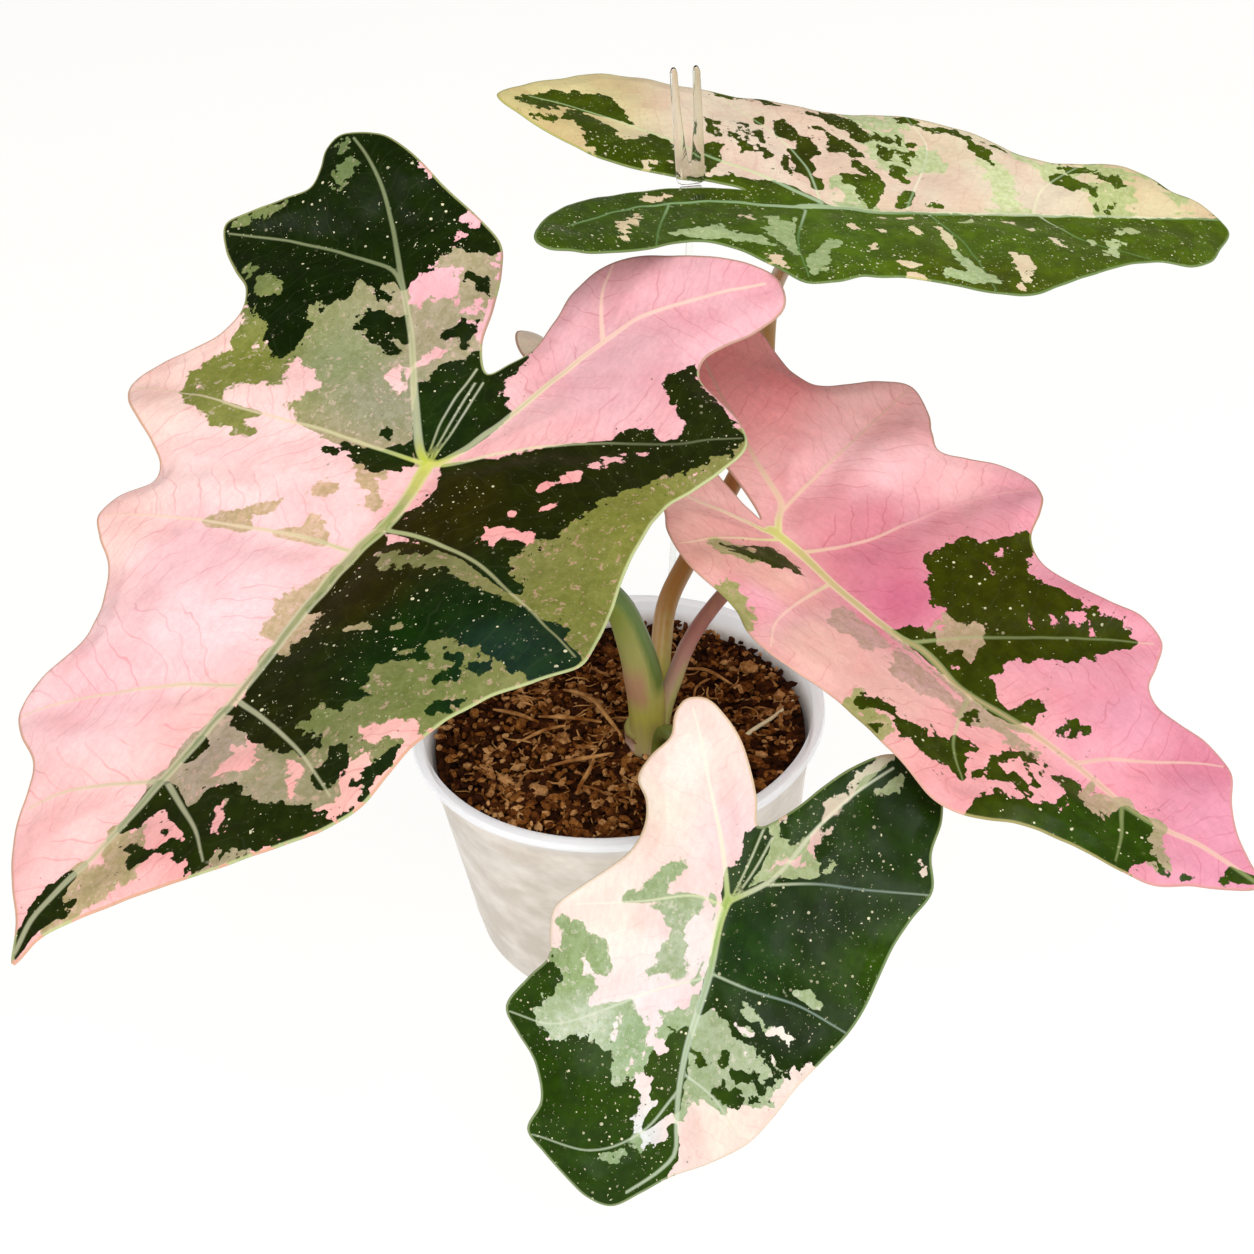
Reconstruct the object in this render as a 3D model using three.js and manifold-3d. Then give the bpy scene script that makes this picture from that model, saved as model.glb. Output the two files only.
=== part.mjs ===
// Potted kris plant with variegated leaves, in millimetres, +Z up.
// The origin is the middle of the pot's flat underside, and the front of the plant faces -Y.
// The plant is one crown with four leaves, in a soft nursery pot filled with coco chips,
// with a clear support that carries the back lobe of the highest leaf.

import * as THREE from 'three';
import { mergeVertices } from 'three/addons/utils/BufferGeometryUtils.js';
import Module from 'manifold-3d';

const wasm = await Module();
wasm.setup();

// Driving dimensions
const CLEARANCE = 0.3;
const POT_HEIGHT = 74;
const RIM_RADIUS = 62;
const RIM_DEPTH = 3.6;
const WALL_TOP_RADIUS = 58.8;
const BASE_RADIUS = 49.5;
const WALL = 1.1;
const POT_FLOOR = 1.6;
const STEP_HEIGHT = 58;
const STEP_OUT = 0.5;
const POT_SIDES = 48;
const DRAIN_HOLES = 6;
const DRAIN_RADIUS = 3.5;
const DRAIN_CIRCLE = 30;
const SOIL_LEVEL = 64.5;
const CROWN_RADIUS = 6.6;
const CROWN_TOP = 74;
const BLADE_THICKNESS = 0.9;
const MIDRIB_RAISE = 0.6;
const VEIN_RAISE = 0.4;
const UPPER_RAISE_SHARE = 0.35;
const STALK_SIDES = 12;
const STALK_STEPS = 20;
const STALK_BEND = 7;
const ROD_RADIUS = 1.1;

const up = new THREE.Vector3(0, 0, 1);
const vec = (p) => new THREE.Vector3(...p);

// Seeded random numbers, so that the soil is the same each time
let seed = 20417;
function random(low = 0, high = 1) {
  seed = (seed * 1664525 + 1013904223) % 4294967296;
  return low + (high - low) * seed / 4294967296;
}

// Joining and cutting of closed meshes
function toSolid(geometry) {
  const bare = geometry.clone();
  bare.deleteAttribute('normal');
  bare.deleteAttribute('uv');
  const merged = mergeVertices(bare, 1e-4);
  return new wasm.Manifold(new wasm.Mesh({
    numProp: 3,
    vertProperties: new Float32Array(merged.attributes.position.array),
    triVerts: new Uint32Array(merged.index.array),
  }));
}

function toGeometry(solid) {
  const mesh = solid.getMesh();
  const geometry = new THREE.BufferGeometry();
  const positions = [];
  for (let i = 0; i < mesh.numVert; i += 1) {
    for (let k = 0; k < 3; k += 1) positions.push(mesh.vertProperties[i * mesh.numProp + k]);
  }
  geometry.setAttribute('position', new THREE.Float32BufferAttribute(positions, 3));
  geometry.setIndex([...mesh.triVerts]);
  return geometry;
}

function largestPiece(solid) {
  const pieces = solid.decompose();
  pieces.sort((a, b) => b.volume() - a.volume());
  return pieces[0];
}

function mesh(name, geometry, color, roughness, extra = {}) {
  const flat = geometry.index ? geometry : mergeVertices(geometry);
  flat.computeVertexNormals();
  const material = new THREE.MeshStandardMaterial({ color, roughness, metalness: 0, ...extra });
  const result = new THREE.Mesh(flat, material);
  result.name = name;
  return result;
}

function lathe(profile, sides) {
  const points = profile.map(([r, z]) => new THREE.Vector2(r, z));
  const geometry = new THREE.LatheGeometry(points, sides);
  geometry.rotateX(Math.PI / 2);
  return geometry;
}

// A stalk that tapers along a curve through hand-placed points, with a flat cut at each end
function stalk(points, radii, sides, steps) {
  const curve = new THREE.CatmullRomCurve3(points.map(vec), false, 'centripetal');
  const frames = curve.computeFrenetFrames(steps, false);
  const positions = [];
  const index = [];
  const last = radii.length - 1;
  for (let i = 0; i <= steps; i += 1) {
    const t = i / steps;
    const centre = curve.getPointAt(t);
    const place = Math.min(t * last, last - 1e-6);
    const low = Math.floor(place);
    const radius = radii[low] + (radii[low + 1] - radii[low]) * (place - low);
    for (let k = 0; k < sides; k += 1) {
      const turn = 2 * Math.PI * k / sides;
      const spot = centre.clone()
        .addScaledVector(frames.normals[i], Math.cos(turn) * radius)
        .addScaledVector(frames.binormals[i], Math.sin(turn) * radius);
      positions.push(spot.x, spot.y, spot.z);
    }
  }
  const start = positions.length / 3;
  for (const end of [curve.getPointAt(0), curve.getPointAt(1)]) positions.push(end.x, end.y, end.z);
  for (let k = 0; k < sides; k += 1) {
    const next = (k + 1) % sides;
    for (let i = 0; i < steps; i += 1) {
      const a = i * sides + k;
      const b = i * sides + next;
      index.push(a, b, b + sides, a, b + sides, a + sides);
    }
    index.push(start, next, k);
    index.push(start + 1, steps * sides + k, steps * sides + next);
  }
  const geometry = new THREE.BufferGeometry();
  geometry.setAttribute('position', new THREE.Float32BufferAttribute(positions, 3));
  geometry.setIndex(index);
  return geometry;
}

// Leaf surface: u runs along the midrib from the junction to the tip, v to its right-hand side.
// heading is the midrib's plan angle from +X, rise its slope, roll the blade's turn about it.
function leafSurface(leaf) {
  const toRadians = THREE.MathUtils.degToRad;
  const heading = toRadians(leaf.heading);
  const rise = toRadians(leaf.rise);
  const roll = toRadians(leaf.roll);
  const along = new THREE.Vector3(
    Math.cos(heading) * Math.cos(rise), Math.sin(heading) * Math.cos(rise), Math.sin(rise));
  const level = new THREE.Vector3().crossVectors(along, up).normalize();
  const above = new THREE.Vector3().crossVectors(level, along);
  const side = level.clone().multiplyScalar(Math.cos(roll)).addScaledVector(above, Math.sin(roll));
  const normal = new THREE.Vector3().crossVectors(side, along);

  function point(u, v) {
    const bend = (u > 0 ? leaf.droop : leaf.backDroop) / 1000;
    const turn = bend * u;
    const forward = Math.abs(bend) < 1e-9 ? u : Math.sin(turn) / bend;
    const fall = Math.abs(bend) < 1e-9 ? 0 : -(1 - Math.cos(turn)) / bend;
    const tangent = along.clone().multiplyScalar(Math.cos(turn)).addScaledVector(normal, -Math.sin(turn));
    const upright = along.clone().multiplyScalar(Math.sin(turn)).addScaledVector(normal, Math.cos(turn));
    const twist = leaf.twist * u / 1000;
    const across = side.clone().multiplyScalar(Math.cos(twist)).addScaledVector(upright, Math.sin(twist));
    const out = new THREE.Vector3().crossVectors(across, tangent);
    const reach = Math.abs(v);
    const [fold, curl] = v > 0 ? leaf.right : leaf.left;
    const edge = Math.min(Math.max((reach - 6) / 40, 0), 1.3) ** 1.5;
    const phase = (u - 0.45 * reach - leaf.waveStart) / leaf.waveLength;
    const wave = leaf.wave * edge * Math.cos(2 * Math.PI * phase);
    const height = fold * (Math.hypot(reach, 3) - 3) - curl * v * v / 1000;
    return vec(leaf.junction)
      .addScaledVector(along, forward)
      .addScaledVector(normal, fall)
      .addScaledVector(across, v)
      .addScaledVector(out, height)
      .addScaledVector(upright, wave);
  }

  function facing(u, v) {
    const step = 0.5;
    const du = point(u + step, v).sub(point(u - step, v));
    const dv = point(u, v + step).sub(point(u, v - step));
    return new THREE.Vector3().crossVectors(dv, du).normalize();
  }

  return { point, facing };
}

// Rows from the margin to the veins: the share of the way out from each point's foot on a vein
const ROWS = [1, 0.84, 0.66, 0.48, 0.3, 0.13];

// A blade is one thin solid. Each margin point has a foot on a vein: it is given where a side vein
// ends at the margin, and shared out between those. Rows of points run from the margin to the feet.
function leafBlade(leaf) {
  const { point, facing } = leafSurface(leaf);
  const margin = leaf.margin;
  const count = margin.length;
  const feet = margin.map((m) => (m.length > 2 ? [m[2], m[3]] : null));
  const known = feet.map((f, i) => (f ? i : -1)).filter((i) => i >= 0);
  known.forEach((from, k) => {
    const to = known[(k + 1) % known.length];
    const gap = (to - from + count) % count;
    for (let j = 1; j < gap; j += 1) {
      const t = j / gap;
      feet[(from + j) % count] = [
        feet[from][0] * (1 - t) + feet[to][0] * t,
        feet[from][1] * (1 - t) + feet[to][1] * t,
      ];
    }
  });
  const spots = [];
  ROWS.forEach((share, row) => {
    for (let i = 0; i < count; i += 1) {
      const u = feet[i][0] + (margin[i][0] - feet[i][0]) * share;
      const v = feet[i][1] + (margin[i][1] - feet[i][1]) * share;
      const onVein = margin[i].length > 2 && row > 0;
      const inner = row === ROWS.length - 1;
      const raise = (inner ? MIDRIB_RAISE : 0) + (onVein ? VEIN_RAISE : 0);
      spots.push({ u, v, raise });
    }
  });
  const flat = [];
  for (let row = 0; row < ROWS.length - 1; row += 1) {
    for (let i = 0; i < count; i += 1) {
      const next = (i + 1) % count;
      const a = row * count + i;
      const b = row * count + next;
      flat.push([a, b, b + count], [a, b + count, a + count]);
    }
  }
  const core = (ROWS.length - 1) * count;
  const ring = [];
  for (let i = 0; i < count; i += 1) ring.push(new THREE.Vector2(spots[core + i].u, spots[core + i].v));
  for (const [a, b, c] of THREE.ShapeUtils.triangulateShape(ring, [])) {
    flat.push([core + a, core + b, core + c]);
  }
  const turned = ([a, b, c]) => {
    const area = (spots[b].u - spots[a].u) * (spots[c].v - spots[a].v)
      - (spots[c].u - spots[a].u) * (spots[b].v - spots[a].v);
    return area < 0 ? [a, b, c] : [a, c, b];
  };
  const faces = flat.map(turned);
  const positions = [];
  for (const sign of [1, -1]) {
    for (const { u, v, raise } of spots) {
      const half = BLADE_THICKNESS / 2 + raise * (sign > 0 ? UPPER_RAISE_SHARE : 1);
      const spot = point(u, v).addScaledVector(facing(u, v), sign * half);
      positions.push(spot.x, spot.y, spot.z);
    }
  }
  const lower = spots.length;
  const index = [];
  for (const [a, b, c] of faces) {
    index.push(a, b, c);
    index.push(lower + a, lower + c, lower + b);
  }
  const first = faces.find((f) => f.includes(0) && f.includes(1));
  const forward = (first.indexOf(1) - first.indexOf(0) + 3) % 3 === 1;
  for (let i = 0; i < count; i += 1) {
    const [a, b] = forward ? [i, (i + 1) % count] : [(i + 1) % count, i];
    index.push(a, lower + a, lower + b, a, lower + b, b);
  }
  const geometry = new THREE.BufferGeometry();
  geometry.setAttribute('position', new THREE.Float32BufferAttribute(positions, 3));
  geometry.setIndex(index);
  return geometry;
}

// Margins of the four leaves, in millimetres in each leaf's own plane, from the notch behind the
// junction round the right-hand side to the tip and back. The last two numbers, where they are
// given, are the foot of the side vein that ends there.
const frontLeaf = {
  name: 'leaf_left', junction: [-39.4, -50, 187.4], heading: -122, rise: -12, roll: 9,
  droop: 0.6, backDroop: -5.5, right: [0.13, 1.8], left: [0.18, 1.7], twist: -1.4,
  wave: 1.0, waveLength: 40, waveStart: 20,
  margin: [
    [-36, 0, -6, 0], [-42, 9], [-51, 12], [-61, 13], [-68, 16], [-73, 25, -46, 33], [-78, 37], [-84, 49],
    [-87, 60], [-84, 71, -70, 50], [-79, 73], [-72, 71], [-66, 71], [-61, 77], [-56, 84],
    [-50, 91, -46, 33], [-44, 88], [-38, 81], [-32, 73], [-25, 70], [-18, 72], [-11, 78],
    [-5, 84], [3, 87, 0, 6], [9, 83], [15, 75], [20, 67], [25, 61], [31, 59], [38, 64],
    [45, 64, 30, 1], [51, 59], [56, 53], [64, 48], [72, 44], [80, 43], [89, 46],
    [98, 46, 74, 2], [103, 41], [108, 33], [114, 29], [120, 27, 101, 3], [127, 23], [134, 17],
    [140, 11], [148, 5, 136, 6], [142, 4], [136, 0], [129, -8, 120, 3], [122, -17],
    [116, -25, 101, 2], [108, -34], [101, -40], [93, -44, 76, 0], [85, -45], [76, -46],
    [68, -48], [60, -52], [53, -60], [46, -66, 22, -2], [36, -65], [26, -63], [16, -61],
    [6, -60], [-2, -59], [-10, -59], [-17, -62], [-24, -66], [-33, -68, 0, -4], [-40, -63],
    [-44, -56], [-48, -49], [-54, -47], [-60, -50], [-66, -56], [-74, -60], [-81, -56, -66, -34],
    [-83, -48], [-82, -38, -64, -32], [-79, -27], [-76, -18, -50, -22], [-71, -12], [-63, -7],
    [-53, -5], [-44, -4],
  ],
};

const rightLeaf = {
  name: 'leaf_right', junction: [48.8, -8, 132.7], heading: -52, rise: -14, roll: 2,
  droop: 0.6, backDroop: -2, right: [0.3, 1.3], left: [0.28, 1.3], twist: -1.0,
  wave: 0.9, waveLength: 38, waveStart: 18,
  margin: [
    [-8, -1, -3, 0], [-14, -1.3], [-22, -2.6], [-32, -4], [-44, -4.5], [-56, -3, -34, 11], [-70, -3], [-84, 0],
    [-98, 5], [-102, 13, -76, 9], [-93, 20], [-78, 20], [-64, 20, -30, 10], [-50, 20], [-36, 22], [-22, 25],
    [-14, 31], [-6, 35, 2, 2], [3, 37], [12, 36], [20, 37], [28, 41], [36, 42, 24, 3], [44, 40], [53, 37],
    [63, 37], [73, 38], [81, 38], [90, 39, 74, 2], [97, 37], [103, 32], [108, 26],
    [115, 21], [123, 17], [131, 14, 119, -3], [138, 10], [143, 2],
    [154, -10, 146, -9], [148, -13], [142, -16], [136, -21], [130, -28, 105, -4], [121, -30], [113, -29],
    [106, -29], [101, -32], [98, -39], [94, -46, 52, 0], [86, -48], [76, -45], [66, -44], [56, -44],
    [48, -48], [44, -56], [40, -62], [32, -67, 12, -1], [23, -65], [15, -59], [8, -55], [1, -60], [-7, -68],
    [-18, -72, -2, -3], [-26, -65], [-31, -56], [-37, -49], [-46, -49], [-57, -52], [-68, -53, -50, -26],
    [-78, -48], [-83, -40, -66, -32], [-80, -31], [-72, -22], [-62, -17], [-50, -12, -43, -23], [-38, -9],
    [-26, -6.8], [-15, -4],
  ],
};

const backLeaf = {
  name: 'leaf_back', junction: [64.6, 22, 214.8], heading: 3, rise: -7, roll: -12.5,
  droop: 1.2, backDroop: -2.8, right: [0.18, 0.8], left: [0.09, 0.8], twist: -0.8,
  wave: 0.6, waveLength: 38, waveStart: 18,
  margin: [
    [-18, -7, -5, -3], [-27, -7], [-38, -5], [-49, -1, -34, 2], [-60, 6], [-71, 19, -51, 13],
    [-78, 34, -58, 20], [-80, 44],
    [-77, 47, -62, 30], [-69, 44], [-59, 39], [-49, 34, -38, 4], [-41, 28], [-33, 25], [-25, 28], [-18, 35],
    [-11, 43, -4, 1], [-3, 43], [6, 39], [16, 38, 4, 1], [27, 41], [37, 45, 20, 1], [47, 43],
    [56, 37], [66, 31],
    [77, 24], [89, 19, 60, 0], [100, 19], [107, 15], [113, 7, 98, -2], [119, -2, 107, -2],
    [118, -6], [113, -13], [105, -17, 92, -3], [98, -23], [90, -26], [81, -25], [71, -24],
    [61, -28, 40, -1], [52, -36], [43, -39], [34, -42, 14, -1], [24, -44], [13, -45], [3, -47], [-8, -53],
    [-20, -57, -4, -3], [-32, -58], [-43, -64], [-53, -64], [-64, -56, -44, -32], [-75, -48],
    [-83, -39, -70, -38],
    [-77, -31], [-68, -24, -44, -31], [-59, -17], [-48, -13], [-36, -11, -28, -23], [-26, -10, -14, -14],
  ],
};

const lowLeaf = {
  name: 'leaf_front', junction: [23, -96, 81], heading: -115, rise: -46, roll: 14,
  droop: 3, backDroop: -1, right: [0.16, 1.8], left: [0.16, 1.8], twist: 0,
  wave: 0.9, waveLength: 30, waveStart: 12,
  margin: [
    [-20, -4, -2, -1], [-27, -2], [-34, 1], [-41, 5], [-46, 10, -28, 10], [-49, 15], [-48, 20, -40, 15],
    [-44, 22], [-38, 22], [-32, 26], [-26, 28, -16, 6], [-21, 25], [-15, 24], [-8, 26], [-2, 31], [4, 37],
    [10, 42, 1, 2], [16, 42], [22, 41], [28, 45], [36, 49, 20, 2], [42, 45], [49, 39], [57, 36],
    [65, 38, 51, 3], [70, 33], [76, 25], [79, 20], [80, 14, 63, 9], [75, 7], [70, 1],
    [64, -8], [57, -16, 44, 2], [49, -21], [41, -25], [33, -30], [25, -35, 19, 0], [18, -38], [10, -40],
    [2, -42], [-5, -45], [-13, -49, -2, -3], [-22, -47], [-31, -48], [-39, -46],
    [-44, -40, -32, -26], [-44, -32],
    [-39, -24, -26, -21], [-33, -18], [-26, -12],
  ],
};

// Stalks of the leaves, from the crown to just under each junction. seat is the depth of a stalk's
// top under the middle of its blade.
const stalks = [
  {
    name: 'petiole_left', leaf: frontLeaf, color: '#5a6a3c', seat: 0.3,
    radii: [5.2, 5.6, 4.1, 3.5, 3.1, 2.8],
    route: [
      [7.9, -9.4, 63], [8.6, -9.6, 76], [8.4, -10.5, 90], [6.4, -13, 106], [2.6, -16.5, 121],
      [-7, -23.5, 137], [-21, -36, 161],
    ],
  },
  {
    name: 'petiole_back', leaf: backLeaf, color: '#7a6a3c', seat: 1.68,
    radii: [3.2, 3.1, 2.9, 2.6, 2.4, 2.3],
    route: [
      [8.7, -3.4, 64], [12.4, 0, 75], [14.6, 6, 88.8], [17.7, 14, 99.6], [24.7, 24, 107], [34.4, 37, 114],
      [44.6, 51, 122.5], [52, 65, 132.5], [56.5, 77, 145], [58, 79, 158], [59, 68, 174], [61.5, 44, 194],
    ],
  },
  {
    name: 'petiole_right', leaf: rightLeaf, color: '#8d6a66', seat: 1.53,
    radii: [2.6, 2.6, 2.4, 2.2, 2.1, 2.0],
    route: [
      [11.4, -7.2, 64], [13.8, -7, 77], [17.4, -6.5, 87], [22.1, -6, 98.3], [28.4, -5.6, 108.1],
      [36.8, -6, 118],
    ],
  },
  {
    name: 'petiole_front', leaf: lowLeaf, color: '#2f4a1e', seat: 1.1,
    radii: [2.4, 2.4, 2.2, 2.1, 2.0, 2.0],
    route: [[10.5, -13.4, 64], [12.4, -16.5, 74], [15.5, -34, 86], [18.5, -62, 89], [21.4, -84, 82]],
  },
];

function stalkGeometry({ leaf, route, radii, seat }, extra = 0) {
  const { point, facing } = leafSurface(leaf);
  const top = point(0, 0).addScaledVector(facing(0, 0), -seat);
  const under = point(0, 0).addScaledVector(facing(0, 0), -STALK_BEND);
  const points = [...route, under.toArray(), top.toArray()];
  return stalk(points, radii.map((r) => r + extra), STALK_SIDES, STALK_STEPS);
}

const group = new THREE.Group();

// Pot: one thin tapered wall with a rolled rim, a small step under it, and holes in its floor
const radiusAt = (z) => BASE_RADIUS + (WALL_TOP_RADIUS - BASE_RADIUS) * z / POT_HEIGHT;
const potProfile = [
  [0, 0], [BASE_RADIUS - 1.2, 0], [BASE_RADIUS, 1.2], [radiusAt(20), 20],
  [radiusAt(STEP_HEIGHT), STEP_HEIGHT], [radiusAt(STEP_HEIGHT) + STEP_OUT, STEP_HEIGHT + 0.8],
  [radiusAt(70) + STEP_OUT, POT_HEIGHT - RIM_DEPTH],
  [RIM_RADIUS - 0.9, POT_HEIGHT - RIM_DEPTH], [RIM_RADIUS, POT_HEIGHT - RIM_DEPTH + 1],
  [RIM_RADIUS, POT_HEIGHT - 1], [RIM_RADIUS - 0.8, POT_HEIGHT],
  [WALL_TOP_RADIUS + 0.3, POT_HEIGHT], [WALL_TOP_RADIUS - WALL + STEP_OUT, POT_HEIGHT - 1.2],
  [radiusAt(STEP_HEIGHT) - WALL + STEP_OUT, STEP_HEIGHT + 0.8], [radiusAt(STEP_HEIGHT) - WALL, STEP_HEIGHT],
  [radiusAt(20) - WALL, 20], [BASE_RADIUS - WALL, POT_FLOOR + 0.8], [BASE_RADIUS - WALL - 0.8, POT_FLOOR],
  [0, POT_FLOOR],
];
let pot = toSolid(lathe(potProfile, POT_SIDES));
for (let i = 0; i < DRAIN_HOLES; i += 1) {
  const turn = 2 * Math.PI * i / DRAIN_HOLES;
  const hole = new THREE.CylinderGeometry(DRAIN_RADIUS, DRAIN_RADIUS, 10, 12);
  hole.rotateX(Math.PI / 2);
  hole.translate(Math.cos(turn) * DRAIN_CIRCLE, Math.sin(turn) * DRAIN_CIRCLE, 0);
  pot = pot.subtract(toSolid(hole));
}
group.add(mesh('pot', toGeometry(pot), '#e6e2da', 0.35, { transparent: true, opacity: 0.5 }));

// Stalks, each cut clear of the ones set before it where they crowd together at the crown
const stalkSolids = [];
const stalkRoom = [];
for (const s of stalks) {
  let solid = toSolid(stalkGeometry(s));
  for (const room of stalkRoom) solid = solid.subtract(room);
  solid = largestPiece(solid);
  stalkSolids.push(solid);
  stalkRoom.push(toSolid(stalkGeometry(s, CLEARANCE)));
  group.add(mesh(s.name, toGeometry(solid), s.color, 0.45));
}

// Crown: the short stem under the stalks, with the stalks set in sockets in it
const CROWN_AXIS = [8, -7.6];
const crownProfile = [
  [0, 50], [3.4, 51], [5.2, 56], [CROWN_RADIUS - 0.6, 62], [CROWN_RADIUS, 66], [CROWN_RADIUS + 0.3, 69],
  [CROWN_RADIUS - 0.2, 72], [CROWN_RADIUS - 1.2, CROWN_TOP], [0, CROWN_TOP],
];
const CROWN_SIDES = 20;
const crownShape = lathe(crownProfile, CROWN_SIDES);
crownShape.translate(CROWN_AXIS[0], CROWN_AXIS[1], 0);
let crown = toSolid(crownShape);
for (const room of stalkRoom) crown = crown.subtract(room);
crown = largestPiece(crown);
group.add(mesh('crown', toGeometry(crown), '#c9a58e', 0.6));

// Clear support: a rod in the soil, and a fork on it that carries the back leaf's rear lobe
const ROD_FOOT = [15.6, 45, 40];
const FORK_BASE = [32.6, 29.2, 221.8];
const rodRoute = [ROD_FOOT, [24, 34.8, 128], [FORK_BASE[0], FORK_BASE[1] - 0.8, FORK_BASE[2] - 3.1]];
const ROD_SIDES = 8;
const rod = stalk(rodRoute, [ROD_RADIUS, ROD_RADIUS], ROD_SIDES, ROD_SIDES);
group.add(mesh('support_rod', rod, '#eef0ee', 0.1, { transparent: true, opacity: 0.4 }));

const FORK_HEIGHT = 31;
const FORK_HALF_WIDTH = 3.9;
const TINE_WIDTH = 2.4;
const FORK_DEPTH = 1.6;
const forkOutline = new THREE.Shape();
forkOutline.moveTo(-1.6, -2.6);
forkOutline.lineTo(1.6, -2.6);
forkOutline.lineTo(2.8, -1);
forkOutline.lineTo(FORK_HALF_WIDTH, 2.5);
forkOutline.lineTo(FORK_HALF_WIDTH + 0.4, 16);
forkOutline.lineTo(FORK_HALF_WIDTH, FORK_HEIGHT - 1);
forkOutline.lineTo(FORK_HALF_WIDTH - TINE_WIDTH / 2, FORK_HEIGHT);
forkOutline.lineTo(FORK_HALF_WIDTH - TINE_WIDTH, FORK_HEIGHT - 1);
forkOutline.lineTo(FORK_HALF_WIDTH - TINE_WIDTH + 0.2, 15);
forkOutline.lineTo(0, 5);
forkOutline.lineTo(-FORK_HALF_WIDTH + TINE_WIDTH - 0.2, 15);
forkOutline.lineTo(-FORK_HALF_WIDTH + TINE_WIDTH, FORK_HEIGHT - 1);
forkOutline.lineTo(-FORK_HALF_WIDTH + TINE_WIDTH / 2, FORK_HEIGHT);
forkOutline.lineTo(-FORK_HALF_WIDTH, FORK_HEIGHT - 1);
forkOutline.lineTo(-FORK_HALF_WIDTH - 0.4, 16);
forkOutline.lineTo(-FORK_HALF_WIDTH, 2.5);
forkOutline.lineTo(-2.8, -1);
const forkPlate = new THREE.ExtrudeGeometry(forkOutline, { depth: FORK_DEPTH, bevelEnabled: false });
forkPlate.rotateX(Math.PI / 2);
const SHELF = { width: 6, length: 10, thickness: 1.4, forward: 3.5, down: 1.6 };
const shelf = new THREE.BoxGeometry(SHELF.width, SHELF.length, SHELF.thickness);
shelf.translate(0, SHELF.forward, -SHELF.down);
const forkShape = toGeometry(toSolid(forkPlate).add(toSolid(shelf)));
const fork = mesh('support_fork', forkShape, '#eef0ee', 0.1, { transparent: true, opacity: 0.4 });
fork.position.set(...FORK_BASE);
group.add(fork);

// Pale root that lies on the soil at the right
const rootRoute = [[33, -13, 61], [39, -9.5, 66.6], [46, -5, 67.6], [53.2, 1.5, 68.2]];
const ROOT_RADII = [0.9, 0.9, 0.7, 0.5];
const ROOT_SIDES = 8;
const ROOT_STEPS = 12;
const rootShape = stalk(rootRoute, ROOT_RADII, ROOT_SIDES, ROOT_STEPS);
group.add(mesh('pale_root', rootShape, '#d9c8a2', 0.7));

// Soil: a bumpy body that fills the pot, with chips of coco and bark standing half out of it
const SOIL_SIDES = 40;
const SOIL_WALL_GAP = 0.65;
const soilRadius = (z) => radiusAt(z) - WALL - SOIL_WALL_GAP;
const soilProfile = [
  [0, POT_FLOOR + CLEARANCE], [BASE_RADIUS - WALL - 1.6, POT_FLOOR + CLEARANCE],
  [soilRadius(8), 8], [soilRadius(40), 40], [soilRadius(SOIL_LEVEL - 2), SOIL_LEVEL - 2],
  [soilRadius(SOIL_LEVEL) - 2, SOIL_LEVEL - 0.4], [36, SOIL_LEVEL], [18, SOIL_LEVEL + 0.6],
  [0, SOIL_LEVEL + 0.8],
];
let soil = toSolid(lathe(soilProfile, SOIL_SIDES));
const CHIPS = 140;
const CHIP_EDGE_GAP = 4.6;
const EVEN_TURN = Math.PI * (3 - Math.sqrt(5));
const chipList = [];
for (let i = 0; i < CHIPS; i += 1) {
  const far = Math.sqrt((i + 0.5) / CHIPS) * (soilRadius(SOIL_LEVEL) - CHIP_EDGE_GAP);
  const turn = i * EVEN_TURN + random(-0.2, 0.2);
  const chip = new THREE.OctahedronGeometry(1, 0);
  chip.scale(random(2.6, 5.2), random(1.6, 3), random(1.3, 2.2));
  chip.rotateX(random(-0.5, 0.5));
  chip.rotateY(random(-0.45, 0.45));
  chip.rotateZ(random(0, 2 * Math.PI));
  chip.translate(Math.cos(turn) * far, Math.sin(turn) * far, SOIL_LEVEL + random(-0.4, 1.1));
  chipList.push(toSolid(chip));
}
soil = wasm.Manifold.union([soil, ...chipList]);
const widened = crownProfile.map(([r, z], i) => [r > 0 ? r + CLEARANCE : 0, i < 2 ? z - CLEARANCE : z]);
const crownRoom = lathe(widened, CROWN_SIDES);
crownRoom.translate(CROWN_AXIS[0], CROWN_AXIS[1], 0);
soil = soil.subtract(toSolid(crownRoom));
for (const room of stalkRoom) soil = soil.subtract(room);
const rodHole = rodRoute.map(([x, y, z], i) => [x, y, i ? z : z - CLEARANCE]);
const rodHoleRadius = ROD_RADIUS + CLEARANCE;
soil = soil.subtract(toSolid(stalk(rodHole, [rodHoleRadius, rodHoleRadius], ROD_SIDES, ROD_SIDES)));
const rootBed = [[32, -13.6, 60.4], ...rootRoute.slice(1)];
const rootBedRadii = ROOT_RADII.map((r) => r + CLEARANCE + 0.1);
soil = soil.subtract(toSolid(stalk(rootBed, rootBedRadii, ROOT_SIDES, ROOT_STEPS)));
soil = largestPiece(soil);
group.add(mesh('soil', toGeometry(soil), '#6b4524', 0.95));

// Leaf blades
const leafColors = ['#b98f86', '#d98f92', '#a9a878', '#7f9a6c'];
[frontLeaf, rightLeaf, backLeaf, lowLeaf].forEach((leaf, i) => {
  group.add(mesh(leaf.name, leafBlade(leaf), leafColors[i], 0.4));
});

export default group;
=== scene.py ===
# Potted kris plant with variegated leaves: the looks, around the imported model.
# Blender 4.5, metres, +Z up. The front of the plant faces -Y.

import math
import random

import bpy
import numpy as np
from mathutils import Matrix, Vector
from mathutils.geometry import delaunay_2d_cdt
from mathutils.kdtree import KDTree


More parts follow.
